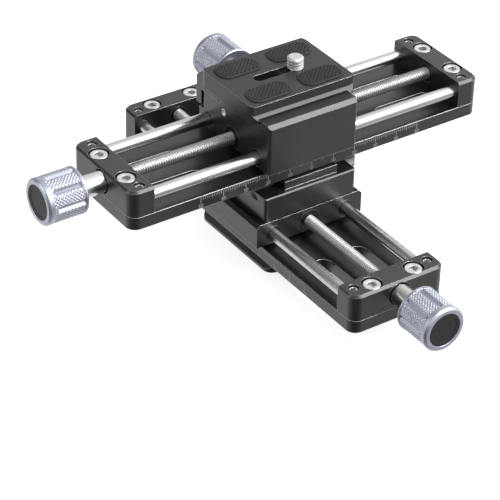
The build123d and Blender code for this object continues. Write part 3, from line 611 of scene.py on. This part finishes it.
# Collars. A turned and polished steel sleeve stands between each block or jaw and its knob,
# so that the knob runs clear; on the rails it sinks into a recess of the front block.
collar_steel = metal(
    "polished_collar_steel", (0.74, 0.74, 0.73), (0.84, 0.84, 0.83), (0.18, 0.26), 1.0, 0.04
)
COLLAR_EDGE = 0.35 * MM
KNOBS = (
    ("lower_drive", "lower_screw", "lower_screw_collar", Vector((0, -1, 0))),
    ("upper_drive", "upper_screw", "upper_screw_collar", Vector((-1, 0, 0))),
    ("lower_clamp", "lower_clamp_knob", "lower_clamp_collar", Vector((0, 1, 0))),
    ("upper_clamp", "upper_clamp_knob", "upper_clamp_collar", Vector((0, 1, 0))),
)
for label, body, collar, axis in KNOBS:
    low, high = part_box(collar)
    radius = (high.z - low.z) / 2
    length = abs((high - low).dot(axis))
    made = lathe(
        f"{label}_sleeve",
        (
            (JOURNAL, 0),
            (radius - COLLAR_EDGE, 0),
            (radius, COLLAR_EDGE),
            (radius, length - COLLAR_EDGE),
            (radius - COLLAR_EDGE, length),
            (JOURNAL, length),
            (JOURNAL, 0),
        ),
    )
    stand(made, (low + high) / 2 - axis * length / 2, axis)
    keep(made, body, collar, collar_steel)

# Drive and clamp knobs. Each is turned from aluminium, diamond knurled, cut with eight smooth
# V flutes that stop short of a plain rim, and anodised a pale silvery blue.
KNOB_AROUND = 288
RING_STEP = 0.2 * MM
KNOB_CHAMFER = 0.8 * MM
KNOB_FLANGE = 1.0 * MM
KNOB_RIM = 2.5 * MM
UNDERCUT_DEPTH = 0.35 * MM
UNDERCUT_END = 1.25 * MM
PANEL_START = 1.3 * MM
CAP_SEAT = 2.0 * MM
CAP_GAP = 0.02 * MM
FLUTE_HALF_ANGLE = math.radians(60)
KNURL_CREST = 0.36  # of the way from one groove's middle to the next
KNURL_START = 0.35 * MM
KNURL_FADE = 0.25 * MM
knurl, given, result = new_tree(
    "flutes_and_knurl",
    {
        "Radius": "Float",
        "Flutes": "Float",
        "Flute depth": "Float",
        "Flute slope": "Float",
        "Flange": "Float",
        "Flute end": "Float",
        "Flute rise": "Float",
        "Knurls": "Float",
        "Knurl depth": "Float",
        "Finish": "Material",
    },
)
x, y, z, reach = turned_place(knurl)
angle = maths(knurl, "ARCTAN2", y, x)
flute_turns = maths(knurl, "DIVIDE", maths(knurl, "MULTIPLY", angle, given["Flutes"]), math.tau)
fold = maths(knurl, "PINGPONG", flute_turns, 0.5)
from_flute = maths(knurl, "DIVIDE", maths(knurl, "MULTIPLY", fold, math.tau), given["Flutes"])
run_out = maths(
    knurl, "DIVIDE", maths(knurl, "SUBTRACT", given["Flute end"], z), given["Flute rise"]
)
run_out = maths(knurl, "MAXIMUM", maths(knurl, "MINIMUM", run_out, 1.0), 0.0)
past_flange = maths(knurl, "GREATER_THAN", z, given["Flange"])
cut_here = maths(knurl, "MULTIPLY", run_out, past_flange)
depth = maths(knurl, "MULTIPLY", cut_here, given["Flute depth"])
point = maths(knurl, "SUBTRACT", given["Radius"], depth)
wall_fall = maths(
    knurl,
    "SUBTRACT",
    maths(knurl, "MULTIPLY", given["Flute slope"], maths(knurl, "COSINE", from_flute)),
    maths(knurl, "SINE", from_flute),
)
wall = maths(knurl, "DIVIDE", maths(knurl, "MULTIPLY", point, given["Flute slope"]), wall_fall)
around = maths(knurl, "DIVIDE", maths(knurl, "MULTIPLY", angle, given["Knurls"]), math.tau)
along = maths(
    knurl,
    "DIVIDE",
    maths(knurl, "MULTIPLY", z, given["Knurls"]),
    maths(knurl, "MULTIPLY", given["Radius"], math.tau),
)
left = maths(knurl, "PINGPONG", maths(knurl, "ADD", around, along), 0.5)
right = maths(knurl, "PINGPONG", maths(knurl, "SUBTRACT", around, along), 0.5)
groove = ramp(knurl, maths(knurl, "MINIMUM", left, right), 0.0, KNURL_CREST, 1.0, 0.0)
inside = maths(
    knurl,
    "MINIMUM",
    maths(knurl, "SUBTRACT", z, maths(knurl, "ADD", given["Flange"], KNURL_START)),
    maths(knurl, "SUBTRACT", given["Flute end"], z),
)
groove = maths(knurl, "MULTIPLY", groove, ramp(knurl, inside, 0.0, KNURL_FADE))
panel = maths(
    knurl, "SUBTRACT", given["Radius"], maths(knurl, "MULTIPLY", groove, given["Knurl depth"])
)
target = maths(knurl, "MINIMUM", wall, panel)
wall_start = maths(knurl, "SUBTRACT", given["Radius"], WALL_TOLERANCE)
rim = maths(knurl, "GREATER_THAN", reach, wall_start)
factor = maths(knurl, "SUBTRACT", maths(knurl, "DIVIDE", target, reach), 1.0)
factor = maths(knurl, "MULTIPLY", factor, rim)
flat = add(knurl, "ShaderNodeCombineXYZ", {"X": x, "Y": y}).outputs[0]
shift = add(knurl, "ShaderNodeVectorMath", {0: flat, "Scale": factor}, operation="SCALE").outputs[0]
moved = add(
    knurl, "GeometryNodeSetPosition", {"Geometry": given["Geometry"], "Offset": shift}
).outputs[0]
end_tree(knurl, moved, given, result)

# Pale blue anodising; its edges are painted lighter over 0.12 mm as a painted highlight.
knob_blue = metal(
    "pale_blue_anodised",
    (0.45, 0.47, 0.56),
    (0.53, 0.55, 0.64),
    (0.36, 0.46),
    0.9,
    0.1,
    ((0.8, 0.81, 0.87), 0.12 * MM),
)
cap_black = metal("cap_black", (0.016, 0.016, 0.018), (0.024, 0.024, 0.026), (0.35, 0.5), 0.0, 0.4)
cap_black.node_tree.nodes["Principled BSDF"].inputs["Specular IOR Level"].default_value = 0.25
for label, body, collar, axis in KNOBS:
    low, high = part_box(f"{label}_knob")
    radius = (high.z - low.z) / 2
    length = abs((high - low).dot(axis))
    cap_low, cap_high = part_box(f"{label}_knob_cap")
    cap_radius = (cap_high.z - cap_low.z) / 2
    groove_foot = radius - UNDERCUT_DEPTH
    bore = cap_radius + CAP_GAP
    flute_end = length - KNOB_RIM
    rings = round((flute_end + 0.3 * MM - PANEL_START) / RING_STEP)
    profile = [
        (JOURNAL, 0),
        (radius - 0.4 * MM, 0),
        (radius, 0.3 * MM),
        (radius, KNOB_FLANGE - 0.05 * MM),
        (groove_foot, KNOB_FLANGE),
        (groove_foot, UNDERCUT_END),
        (radius, PANEL_START),
    ]
    profile += [(radius, PANEL_START + RING_STEP * (step + 1)) for step in range(rings)]
    profile += [
        (radius, length - KNOB_CHAMFER),
        (radius - 0.3 * MM, length - KNOB_CHAMFER + 0.4 * MM),
        (radius - KNOB_CHAMFER, length),
        (cap_radius + 0.15 * MM, length),
        (bore, length - 0.12 * MM),
        (bore, length - CAP_SEAT),
        (JOURNAL, length - CAP_SEAT),
        (JOURNAL, 0),
    ]
    made = grow(
        f"{label}_grip",
        lathe("blank", profile, KNOB_AROUND),
        knurl,
        {
            "Radius": radius,
            "Flutes": 8.0,
            "Flute depth": 1.1 * MM,
            "Flute slope": math.tan(FLUTE_HALF_ANGLE),
            "Flange": KNOB_FLANGE,
            "Flute end": flute_end,
            "Flute rise": 1.5 * MM,
            "Knurls": 40.0,
            "Knurl depth": 0.34 * MM,
            "Finish": knob_blue,
        },
    )
    stand(made, (low + high) / 2 - axis * length / 2, axis)
    keep(made, body, f"{label}_knob", None, 28)

    # A black disc with a raised border is pressed into the knob's end, to hide the screw.
    thick = abs((cap_high - cap_low).dot(axis))
    disc = lathe(
        f"{label}_disc",
        (
            (0, 0),
            (cap_radius, 0),
            (cap_radius, thick - 0.2 * MM),
            (cap_radius - 0.2 * MM, thick),
            (cap_radius - 1.2 * MM, thick),
            (cap_radius - 1.4 * MM, thick - 0.15 * MM),
            (0, thick - 0.15 * MM),
        ),
    )
    stand(disc, (cap_low + cap_high) / 2 - axis * thick / 2, axis)
    keep(disc, body, f"{label}_knob_cap", cap_black)

# Carriages. Each is a block of black anodised aluminium that runs on the rods. The upper one
# holds its clamp in one piece, and the lower one carries a clamp block held by four screws.
for node in ("lower_carriage", "clamp_block", "upper_carriage"):
    dress(node, black_block)
fit_screws("clamp_block_bolts", "clamp_block_screws", "lower_carriage", M4_HEAD)
low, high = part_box("stop_pin")
radius = (high.z - low.z) / 2
length = high.x - low.x
pin = lathe(
    "stop_stud",
    (
        (0, 0),
        (radius - 0.2 * MM, 0),
        (radius, 0.2 * MM),
        (radius, length - 0.1 * MM),
        (radius - 0.3 * MM, length),
        (radius - 0.9 * MM, length - 0.25 * MM),
        (0, length - 0.3 * MM),
    ),
    40,
)
stand(pin, Vector((high.x, (low.y + high.y) / 2, (low.z + high.z) / 2)), (-1, 0, 0))
keep(pin, "upper_carriage", "stop_pin", screw_steel)

# Movable jaws. Each is a black anodised dovetail jaw that two steel pins guide. Coil springs
# on the pins push it open, and the clamp screw pulls it in when its knob is turned.
spring_wire = metal("spring_wire", (0.45, 0.45, 0.46), (0.6, 0.6, 0.6), (0.2, 0.3), 1.0, 0.1)
for side in SIDES:
    dress(f"{side}_clamp_jaw", black_block)
    dress(f"{side}_jaw_guide_pins", rod_steel)
    dress(f"{side}_jaw_springs", spring_wire)
    dress(f"{side}_clamp_screw", screw_metal)

# Quick-release plate. A black anodised dovetail plate that the upper clamp grips, with a slot
# for the camera screw and four sunk places for its pads.
BLASTED_IOR = 1.62
black_plate = anodised("black_anodised_plate", (0.3, 0.4), 0.2 * MM, BLASTED_IOR)
dress("quick_release_plate", black_plate)

# Grip pads. Black rubber pads with fine slanting ribs, glued into the plate, keep the camera
# from turning. Each is moulded in one piece.
ribs, given, result = new_tree(
    "ribs", {"Rib": "Object", "Turn": "Float", "Finish": "Material"}
)
rib_info = add(ribs, "GeometryNodeObjectInfo", {"Object": given["Rib"]})
reach = add(ribs, "GeometryNodeInputNamedAttribute", {"Name": "reach"}, data_type="FLOAT")
size = add(ribs, "ShaderNodeCombineXYZ", {"X": reach.outputs[0], "Y": 1.0, "Z": 1.0}).outputs[0]
turn = add(ribs, "ShaderNodeCombineXYZ", {"Z": given["Turn"]}).outputs[0]
instances = add(
    ribs,
    "GeometryNodeInstanceOnPoints",
    {
        "Points": given["Geometry"],
        "Instance": rib_info.outputs["Geometry"],
        "Rotation": turn,
        "Scale": size,
    },
).outputs[0]
end_tree(ribs, instances, given, result)

rubber = metal("pad_rubber", (0.022, 0.022, 0.023), (0.04, 0.04, 0.041), (0.55, 0.75), 0.0, 0.8)
PAD_CORNER = 3.9 * MM
RIB_PITCH = 1.25 * MM
RIB_TURN = math.radians(45)
RIB_HALF = 0.42 * MM
RIB_TOP_HALF = 0.16 * MM
RIB_HEIGHT = 0.45 * MM
RIB_SUNK = 0.1 * MM
RIB_STEP = 0.05 * MM
RIB_STEPS = 300
RIB_INSET = 0.75 * MM
SHORTEST_RIB = 12  # steps
LIP_HEIGHT = 0.2 * MM
LIP_OUTER = 0.25 * MM
LIP_INNER = 0.7 * MM
LIP_FOOT = 0.8 * MM
CORNER_STEPS = 8
rib = bpy.data.meshes.new("rib")
rib.from_pydata(
    [
        (-0.5, -RIB_HALF, -RIB_SUNK),
        (-0.5, RIB_HALF, -RIB_SUNK),
        (0.5, -RIB_HALF, -RIB_SUNK),
        (0.5, RIB_HALF, -RIB_SUNK),
        (-0.49, -RIB_TOP_HALF, RIB_HEIGHT),
        (-0.49, RIB_TOP_HALF, RIB_HEIGHT),
        (0.49, -RIB_TOP_HALF, RIB_HEIGHT),
        (0.49, RIB_TOP_HALF, RIB_HEIGHT),
    ],
    [],
    [(0, 1, 3, 2), (4, 6, 7, 5), (0, 2, 6, 4), (1, 5, 7, 3), (0, 4, 5, 1), (2, 3, 7, 6)],
)
rib_object = place_mesh("rib", rib)


def inside_pad(spot, half_long, half_wide):
    """Whether a spot of a pad lies within the border that its ribs keep clear."""
    past_corner = Vector(
        (
            max(abs(spot.x) - half_long + PAD_CORNER, 0),
            max(abs(spot.y) - half_wide + PAD_CORNER, 0),
        )
    )
    return past_corner.length < PAD_CORNER - RIB_INSET


def pad_shape(middle, half_long, half_wide, foot, top):
    """Pad with round corners and a low lip along its edge, from foot to top."""
    outline = []
    for corner in range(4):
        sx = 1 if corner in (0, 3) else -1
        sy = 1 if corner < 2 else -1
        for step in range(CORNER_STEPS + 1):
            bend = math.pi / 2 * (corner + step / CORNER_STEPS)
            across_x = sx * (half_long - PAD_CORNER) + PAD_CORNER * math.cos(bend)
            across_y = sy * (half_wide - PAD_CORNER) + PAD_CORNER * math.sin(bend)
            outline.append((across_x, across_y))
    shape = bmesh.new()
    rings = []
    lip = top + LIP_HEIGHT
    for inset, height in ((0, foot), (0, top), (LIP_OUTER, lip), (LIP_INNER, lip), (LIP_FOOT, top)):
        shrink_x = (half_long - inset) / half_long
        shrink_y = (half_wide - inset) / half_wide
        ring = [(middle.x + a * shrink_x, middle.y + b * shrink_y, height) for a, b in outline]
        rings.append([shape.verts.new(corner) for corner in ring])
    for lower, upper in zip(rings, rings[1:]):
        for step in range(len(outline)):
            shape.faces.new((lower[step - 1], lower[step], upper[step], upper[step - 1]))
    shape.faces.new(rings[0])
    shape.faces.new(rings[-1])
    return finish_shape("pad", shape)


pads = []
spots = []
reaches = []
rib_along = Vector((math.cos(RIB_TURN), math.sin(RIB_TURN)))
rib_across = Vector((-rib_along.y, rib_along.x))
for low, high in solids_of("grip_pads"):
    middle = (low + high) / 2
    half_long = (high.x - low.x) / 2
    half_wide = (high.y - low.y) / 2
    top = high.z - RIB_HEIGHT
    pads.append(pad_shape(middle, half_long, half_wide, low.z, top))
    count = int((half_long + half_wide) / RIB_PITCH)
    for step in range(-count, count + 1):
        row = rib_across * (step * RIB_PITCH)
        steps = [place * RIB_STEP for place in range(-RIB_STEPS, RIB_STEPS + 1)]
        inner = [t for t in steps if inside_pad(row + rib_along * t, half_long, half_wide)]
        if len(inner) > SHORTEST_RIB:
            centre = row + rib_along * ((inner[0] + inner[-1]) / 2)
            spots.append((middle.x + centre.x, middle.y + centre.y, top))
            reaches.append(inner[-1] - inner[0])
places = points(spots)
attribute = places.data.attributes.new("reach", "FLOAT", "POINT")
attribute.data.foreach_set("value", reaches)
grown_ribs = grow(
    "rib_set", places, ribs, {"Rib": rib_object, "Turn": RIB_TURN, "Finish": rubber}
)
bpy.data.objects.remove(rib_object)
keep(join("ribbed_pads", [*pads, grown_ribs]), "plate", "grip_pads", rubber, 25)

# Camera screw. A quarter inch steel screw with a rolled thread stands in the slot; a washer
# under the plate keeps it in place, and its head is hidden in the channel below.
low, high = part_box("camera_screw")
CAMERA_RADIUS = 3.175 * MM
CAMERA_PITCH = 1.27 * MM
CAMERA_THREAD_DEPTH = 0.6 * MM
CAMERA_HEAD = 3.0 * MM
CAMERA_HEAD_EDGE = 0.3 * MM
CAMERA_KEY = 4.8 * MM
CAMERA_NECK = 2.0 * MM
CAMERA_TIP = 0.55 * MM
CAMERA_AROUND = 72
CAMERA_CUTS = 10  # to a turn
thread_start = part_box("quick_release_plate")[1].z + 0.1 * MM - low.z
length = high.z - low.z
head_radius = (high.x - low.x) / 2
before = [
    (0, 1.8 * MM),
    (CAMERA_KEY / 2, 2.0 * MM, 6),
    (CAMERA_KEY / 2, 0.2 * MM, 6),
    (CAMERA_KEY / 2 + 0.4 * MM, 0),
    (head_radius - CAMERA_HEAD_EDGE, 0),
    (head_radius, CAMERA_HEAD_EDGE),
    (head_radius, CAMERA_HEAD - CAMERA_HEAD_EDGE),
    (head_radius - CAMERA_HEAD_EDGE, CAMERA_HEAD),
    (CAMERA_NECK, CAMERA_HEAD),
    (CAMERA_NECK, thread_start),
]
crest_end = length - CAMERA_TIP
after = [(CAMERA_RADIUS - CAMERA_THREAD_DEPTH, length), (0, length)]
stud_steel = metal(
    "camera_screw_steel", (0.78, 0.78, 0.79), (0.86, 0.86, 0.86), (0.34, 0.44), 1.0, 0.04
)
made = grow(
    "camera_stud",
    threaded(
        before,
        (CAMERA_RADIUS, thread_start, crest_end),
        CAMERA_PITCH,
        after,
        CAMERA_AROUND,
        CAMERA_CUTS,
    ),
    thread,
    {
        "Radius": CAMERA_RADIUS,
        "Pitch": CAMERA_PITCH,
        "Depth": CAMERA_THREAD_DEPTH,
        "Start": thread_start,
        "End": crest_end,
        "Finish": stud_steel,
    },
)
stand(made, Vector(((low.x + high.x) / 2, (low.y + high.y) / 2, low.z)), (0, 0, 1))
keep(made, "camera_screw", "camera_screw", None, 40)
dress("camera_screw_washer", stud_steel)

# Scales. White millimetre marks and numbers are printed on one side of each base plate, with
# nought at its middle. The carriage's place on its rail is read from them.
ticks, given, result = new_tree(
    "scale_marks",
    {
        "Count": "Int",
        "Pitch": "Float",
        "Width": "Float",
        "Short": "Float",
        "Middle": "Float",
        "Long": "Float",
        "Thick": "Float",
        "Finish": "Material",
    },
)
line = add(
    ticks,
    "GeometryNodeMeshLine",
    {
        "Count": given["Count"],
        "Start Location": (0, 0, 0),
        "Offset": add(ticks, "ShaderNodeCombineXYZ", {"X": given["Pitch"]}).outputs[0],
    },
).outputs[0]
index = add(ticks, "GeometryNodeInputIndex").outputs[0]
fifth = maths(ticks, "LESS_THAN", maths(ticks, "MODULO", index, 5.0), 0.5)
tenth = maths(ticks, "LESS_THAN", maths(ticks, "MODULO", index, 10.0), 0.5)
tall = maths(
    ticks,
    "ADD",
    given["Short"],
    maths(ticks, "MULTIPLY", fifth, maths(ticks, "SUBTRACT", given["Middle"], given["Short"])),
)
tall = maths(
    ticks,
    "ADD",
    tall,
    maths(ticks, "MULTIPLY", tenth, maths(ticks, "SUBTRACT", given["Long"], given["Middle"])),
)
size = add(ticks, "ShaderNodeCombineXYZ", {"X": given["Width"], "Y": tall, "Z": given["Thick"]})
lowered = add(ticks, "ShaderNodeCombineXYZ", {"Y": maths(ticks, "MULTIPLY", tall, -0.5)})
line = add(
    ticks, "GeometryNodeSetPosition", {"Geometry": line, "Offset": lowered.outputs[0]}
).outputs[0]
bar = add(ticks, "GeometryNodeMeshCube", {"Size": (1, 1, 1)}).outputs[0]
instances = add(
    ticks,
    "GeometryNodeInstanceOnPoints",
    {"Points": line, "Instance": bar, "Scale": size.outputs[0]},
).outputs[0]
end_tree(ticks, instances, given, result)

scale_white = metal("scale_white", (0.34, 0.34, 0.34), (0.42, 0.42, 0.42), (0.5, 0.6), 0.0, 0.3)
TICK_PITCH = 1.0 * MM
SCALE_REACH = 50
DIGIT_HEIGHT = 1.5 * MM
SIZE_TO_DIGIT = 1.45  # size of the lettering to the height of its digits
PRINT_THICK = 0.03 * MM
TICK_WIDTH = 0.24 * MM
MM_TICK = 1.2 * MM
FIVE_TICK = 1.7 * MM
TEN_TICK = 2.6 * MM
TICKS_BELOW_TOP = 0.45 * MM
NUMBERS_BELOW_TOP = 4.2 * MM
for side, along, outward in (
    ("lower", Vector((0, -1, 0)), Vector((-1, 0, 0))),
    ("upper", Vector((1, 0, 0)), Vector((0, -1, 0))),
):
    low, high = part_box(f"{side}_base_plate")
    middle = (low + high) / 2
    face = middle + outward * (high - low).dot(Vector((abs(outward.x), abs(outward.y), 0))) / 2
    top = high.z - TICKS_BELOW_TOP
    start = Vector((face.x, face.y, top)) - along * SCALE_REACH * TICK_PITCH
    marks = grow(
        "marks",
        points([(0, 0, 0)]),
        ticks,
        {
            "Count": 2 * SCALE_REACH + 1,
            "Pitch": TICK_PITCH,
            "Width": TICK_WIDTH,
            "Short": MM_TICK,
            "Middle": FIVE_TICK,
            "Long": TEN_TICK,
            "Thick": 2 * PRINT_THICK,
            "Finish": scale_white,
        },
    )
    turned = Matrix((along, Vector((0, 0, 1)), outward)).transposed().to_4x4()
    marks.data.transform(Matrix.Translation(start) @ turned)
    prints = [marks]
    for number in range(-SCALE_REACH, SCALE_REACH + 1, 10):
        text = bpy.data.curves.new("number", "FONT")
        text.body = str(abs(number))
        text.size = DIGIT_HEIGHT * SIZE_TO_DIGIT
        text.align_x = "CENTER"
        text.align_y = "CENTER"
        text.extrude = PRINT_THICK
        holder = bpy.data.objects.new("number", text)
        bpy.context.scene.collection.objects.link(holder)
        bpy.context.view_layer.update()
        seen = holder.evaluated_get(bpy.context.evaluated_depsgraph_get())
        mesh = bpy.data.meshes.new_from_object(seen)
        bpy.data.objects.remove(holder)
        height = high.z - NUMBERS_BELOW_TOP
        spot = Vector((face.x, face.y, height)) + along * number * TICK_PITCH
        mesh.transform(Matrix.Translation(spot) @ turned)
        prints.append(bpy.data.objects.new("number", mesh))
    keep(join(f"{side}_scale", prints), f"{side}_rail", None, scale_white, 20)

# Floor, light and camera. The rail stands on a plain white table in a soft studio light, and
# the camera looks down along both rails from the corner between the two drive knobs.
FLOOR_GLOW = 0.78
floor_material = bpy.data.materials.new("white_table")
floor_material.use_nodes = True
tree = floor_material.node_tree
surface = tree.nodes["Principled BSDF"]
surface.inputs["Roughness"].default_value = 0.9
surface.inputs["Specular IOR Level"].default_value = 0.1
paper = mixed(tree, noise(tree, 300, 3), (0.8, 0.8, 0.8, 1), (0.83, 0.83, 0.83, 1))
tree.links.new(paper, surface.inputs["Base Color"])
path = add(tree, "ShaderNodeLightPath")
surface.inputs["Emission Color"].default_value = (1, 1, 1, 1)
glow = maths(tree, "MULTIPLY", path.outputs["Is Camera Ray"], FLOOR_GLOW)
tree.links.new(glow, surface.inputs["Emission Strength"])
FLOOR_HALF = 6.0
floor_mesh = bpy.data.meshes.new("table")
floor_mesh.from_pydata(
    [(x, y, 0) for x, y in ((-1, -1), (1, -1), (1, 1), (-1, 1))], [], [(0, 1, 2, 3)]
)
floor_mesh.transform(Matrix.Diagonal((FLOOR_HALF, FLOOR_HALF, 1, 1)))
floor_mesh.materials.append(floor_material)
floor = place_mesh("table", floor_mesh)
floor.visible_glossy = False

WORLD_LIGHT = 0.35
world = bpy.data.worlds.new("studio")
bpy.context.scene.world = world
world.use_nodes = True
tree = world.node_tree
background = tree.nodes["Background"]
looking = add(tree, "ShaderNodeTexCoord").outputs["Generated"]
height = add(tree, "ShaderNodeSeparateXYZ", {0: looking}).outputs["Z"]
rightward = add(
    tree, "ShaderNodeVectorMath", {0: looking, 1: (0.8, -0.6, 0)}, operation="DOT_PRODUCT"
).outputs["Value"]
nearward = add(
    tree, "ShaderNodeVectorMath", {0: looking, 1: (-0.573, -0.819, 0)}, operation="DOT_PRODUCT"
).outputs["Value"]
walls = ramp(tree, rightward, -0.85, 0.2, 0.15, 1.0)
table = ramp(tree, nearward, -0.28, 0.8, 1.0, 0.05)
upper = ramp(tree, height, -0.1, 0.1)
mirrored = maths(
    tree,
    "ADD",
    maths(tree, "MULTIPLY", walls, upper),
    maths(tree, "MULTIPLY", table, maths(tree, "SUBTRACT", 1.0, upper)),
)
path = add(tree, "ShaderNodeLightPath")
strength = maths(tree, "MULTIPLY", mirrored, path.outputs["Is Glossy Ray"])
strength = maths(tree, "MAXIMUM", strength, path.outputs["Is Camera Ray"])
strength = maths(tree, "MAXIMUM", strength, path.outputs["Is Transmission Ray"])
diffuse = maths(tree, "MULTIPLY", path.outputs["Is Diffuse Ray"], WORLD_LIGHT)
background.inputs["Color"].default_value = (1, 1, 1, 1)
tree.links.new(maths(tree, "MAXIMUM", strength, diffuse), background.inputs["Strength"])

TARGET = Vector((0, 0, 40 * MM))


def softbox(name, direction, distance, size, power):
    """Square area lamp that faces the rail from a direction."""
    lamp = bpy.data.lights.new(name, "AREA")
    lamp.shape = "SQUARE"
    lamp.size = size
    lamp.energy = power
    holder = bpy.data.objects.new(name, lamp)
    away = Vector(direction).normalized()
    holder.location = TARGET + away * distance
    holder.rotation_mode = "QUATERNION"
    holder.rotation_quaternion = away.to_track_quat("Z", "Y")
    bpy.context.scene.collection.objects.link(holder)


softbox("key", (0.47, -0.56, 0.68), 0.9, 0.7, 8.0)
softbox("left", (-1.0, 0.3, 0.45), 0.9, 0.5, 2.0)

CAMERA_PLACE = Vector((-0.43257, -0.60234, 0.49674))
CAMERA_RIGHT = Vector((0.82773, -0.56067, 0.02191))
CAMERA_UP = Vector((0.30129, 0.47705, 0.82561))
LENS = 163.33
camera_data = bpy.data.cameras.new("camera")
camera_data.sensor_width = 36.0
camera_data.lens = LENS
camera_data.clip_start = 0.05
camera = bpy.data.objects.new("camera", camera_data)
back = CAMERA_RIGHT.cross(CAMERA_UP).normalized()
up = back.cross(CAMERA_RIGHT).normalized()
camera.matrix_world = (
    Matrix.Translation(CAMERA_PLACE) @ Matrix((up.cross(back), up, back)).transposed().to_4x4()
)
bpy.context.scene.collection.objects.link(camera)
bpy.context.scene.camera = camera
bpy.context.scene.view_settings.view_transform = "Standard"
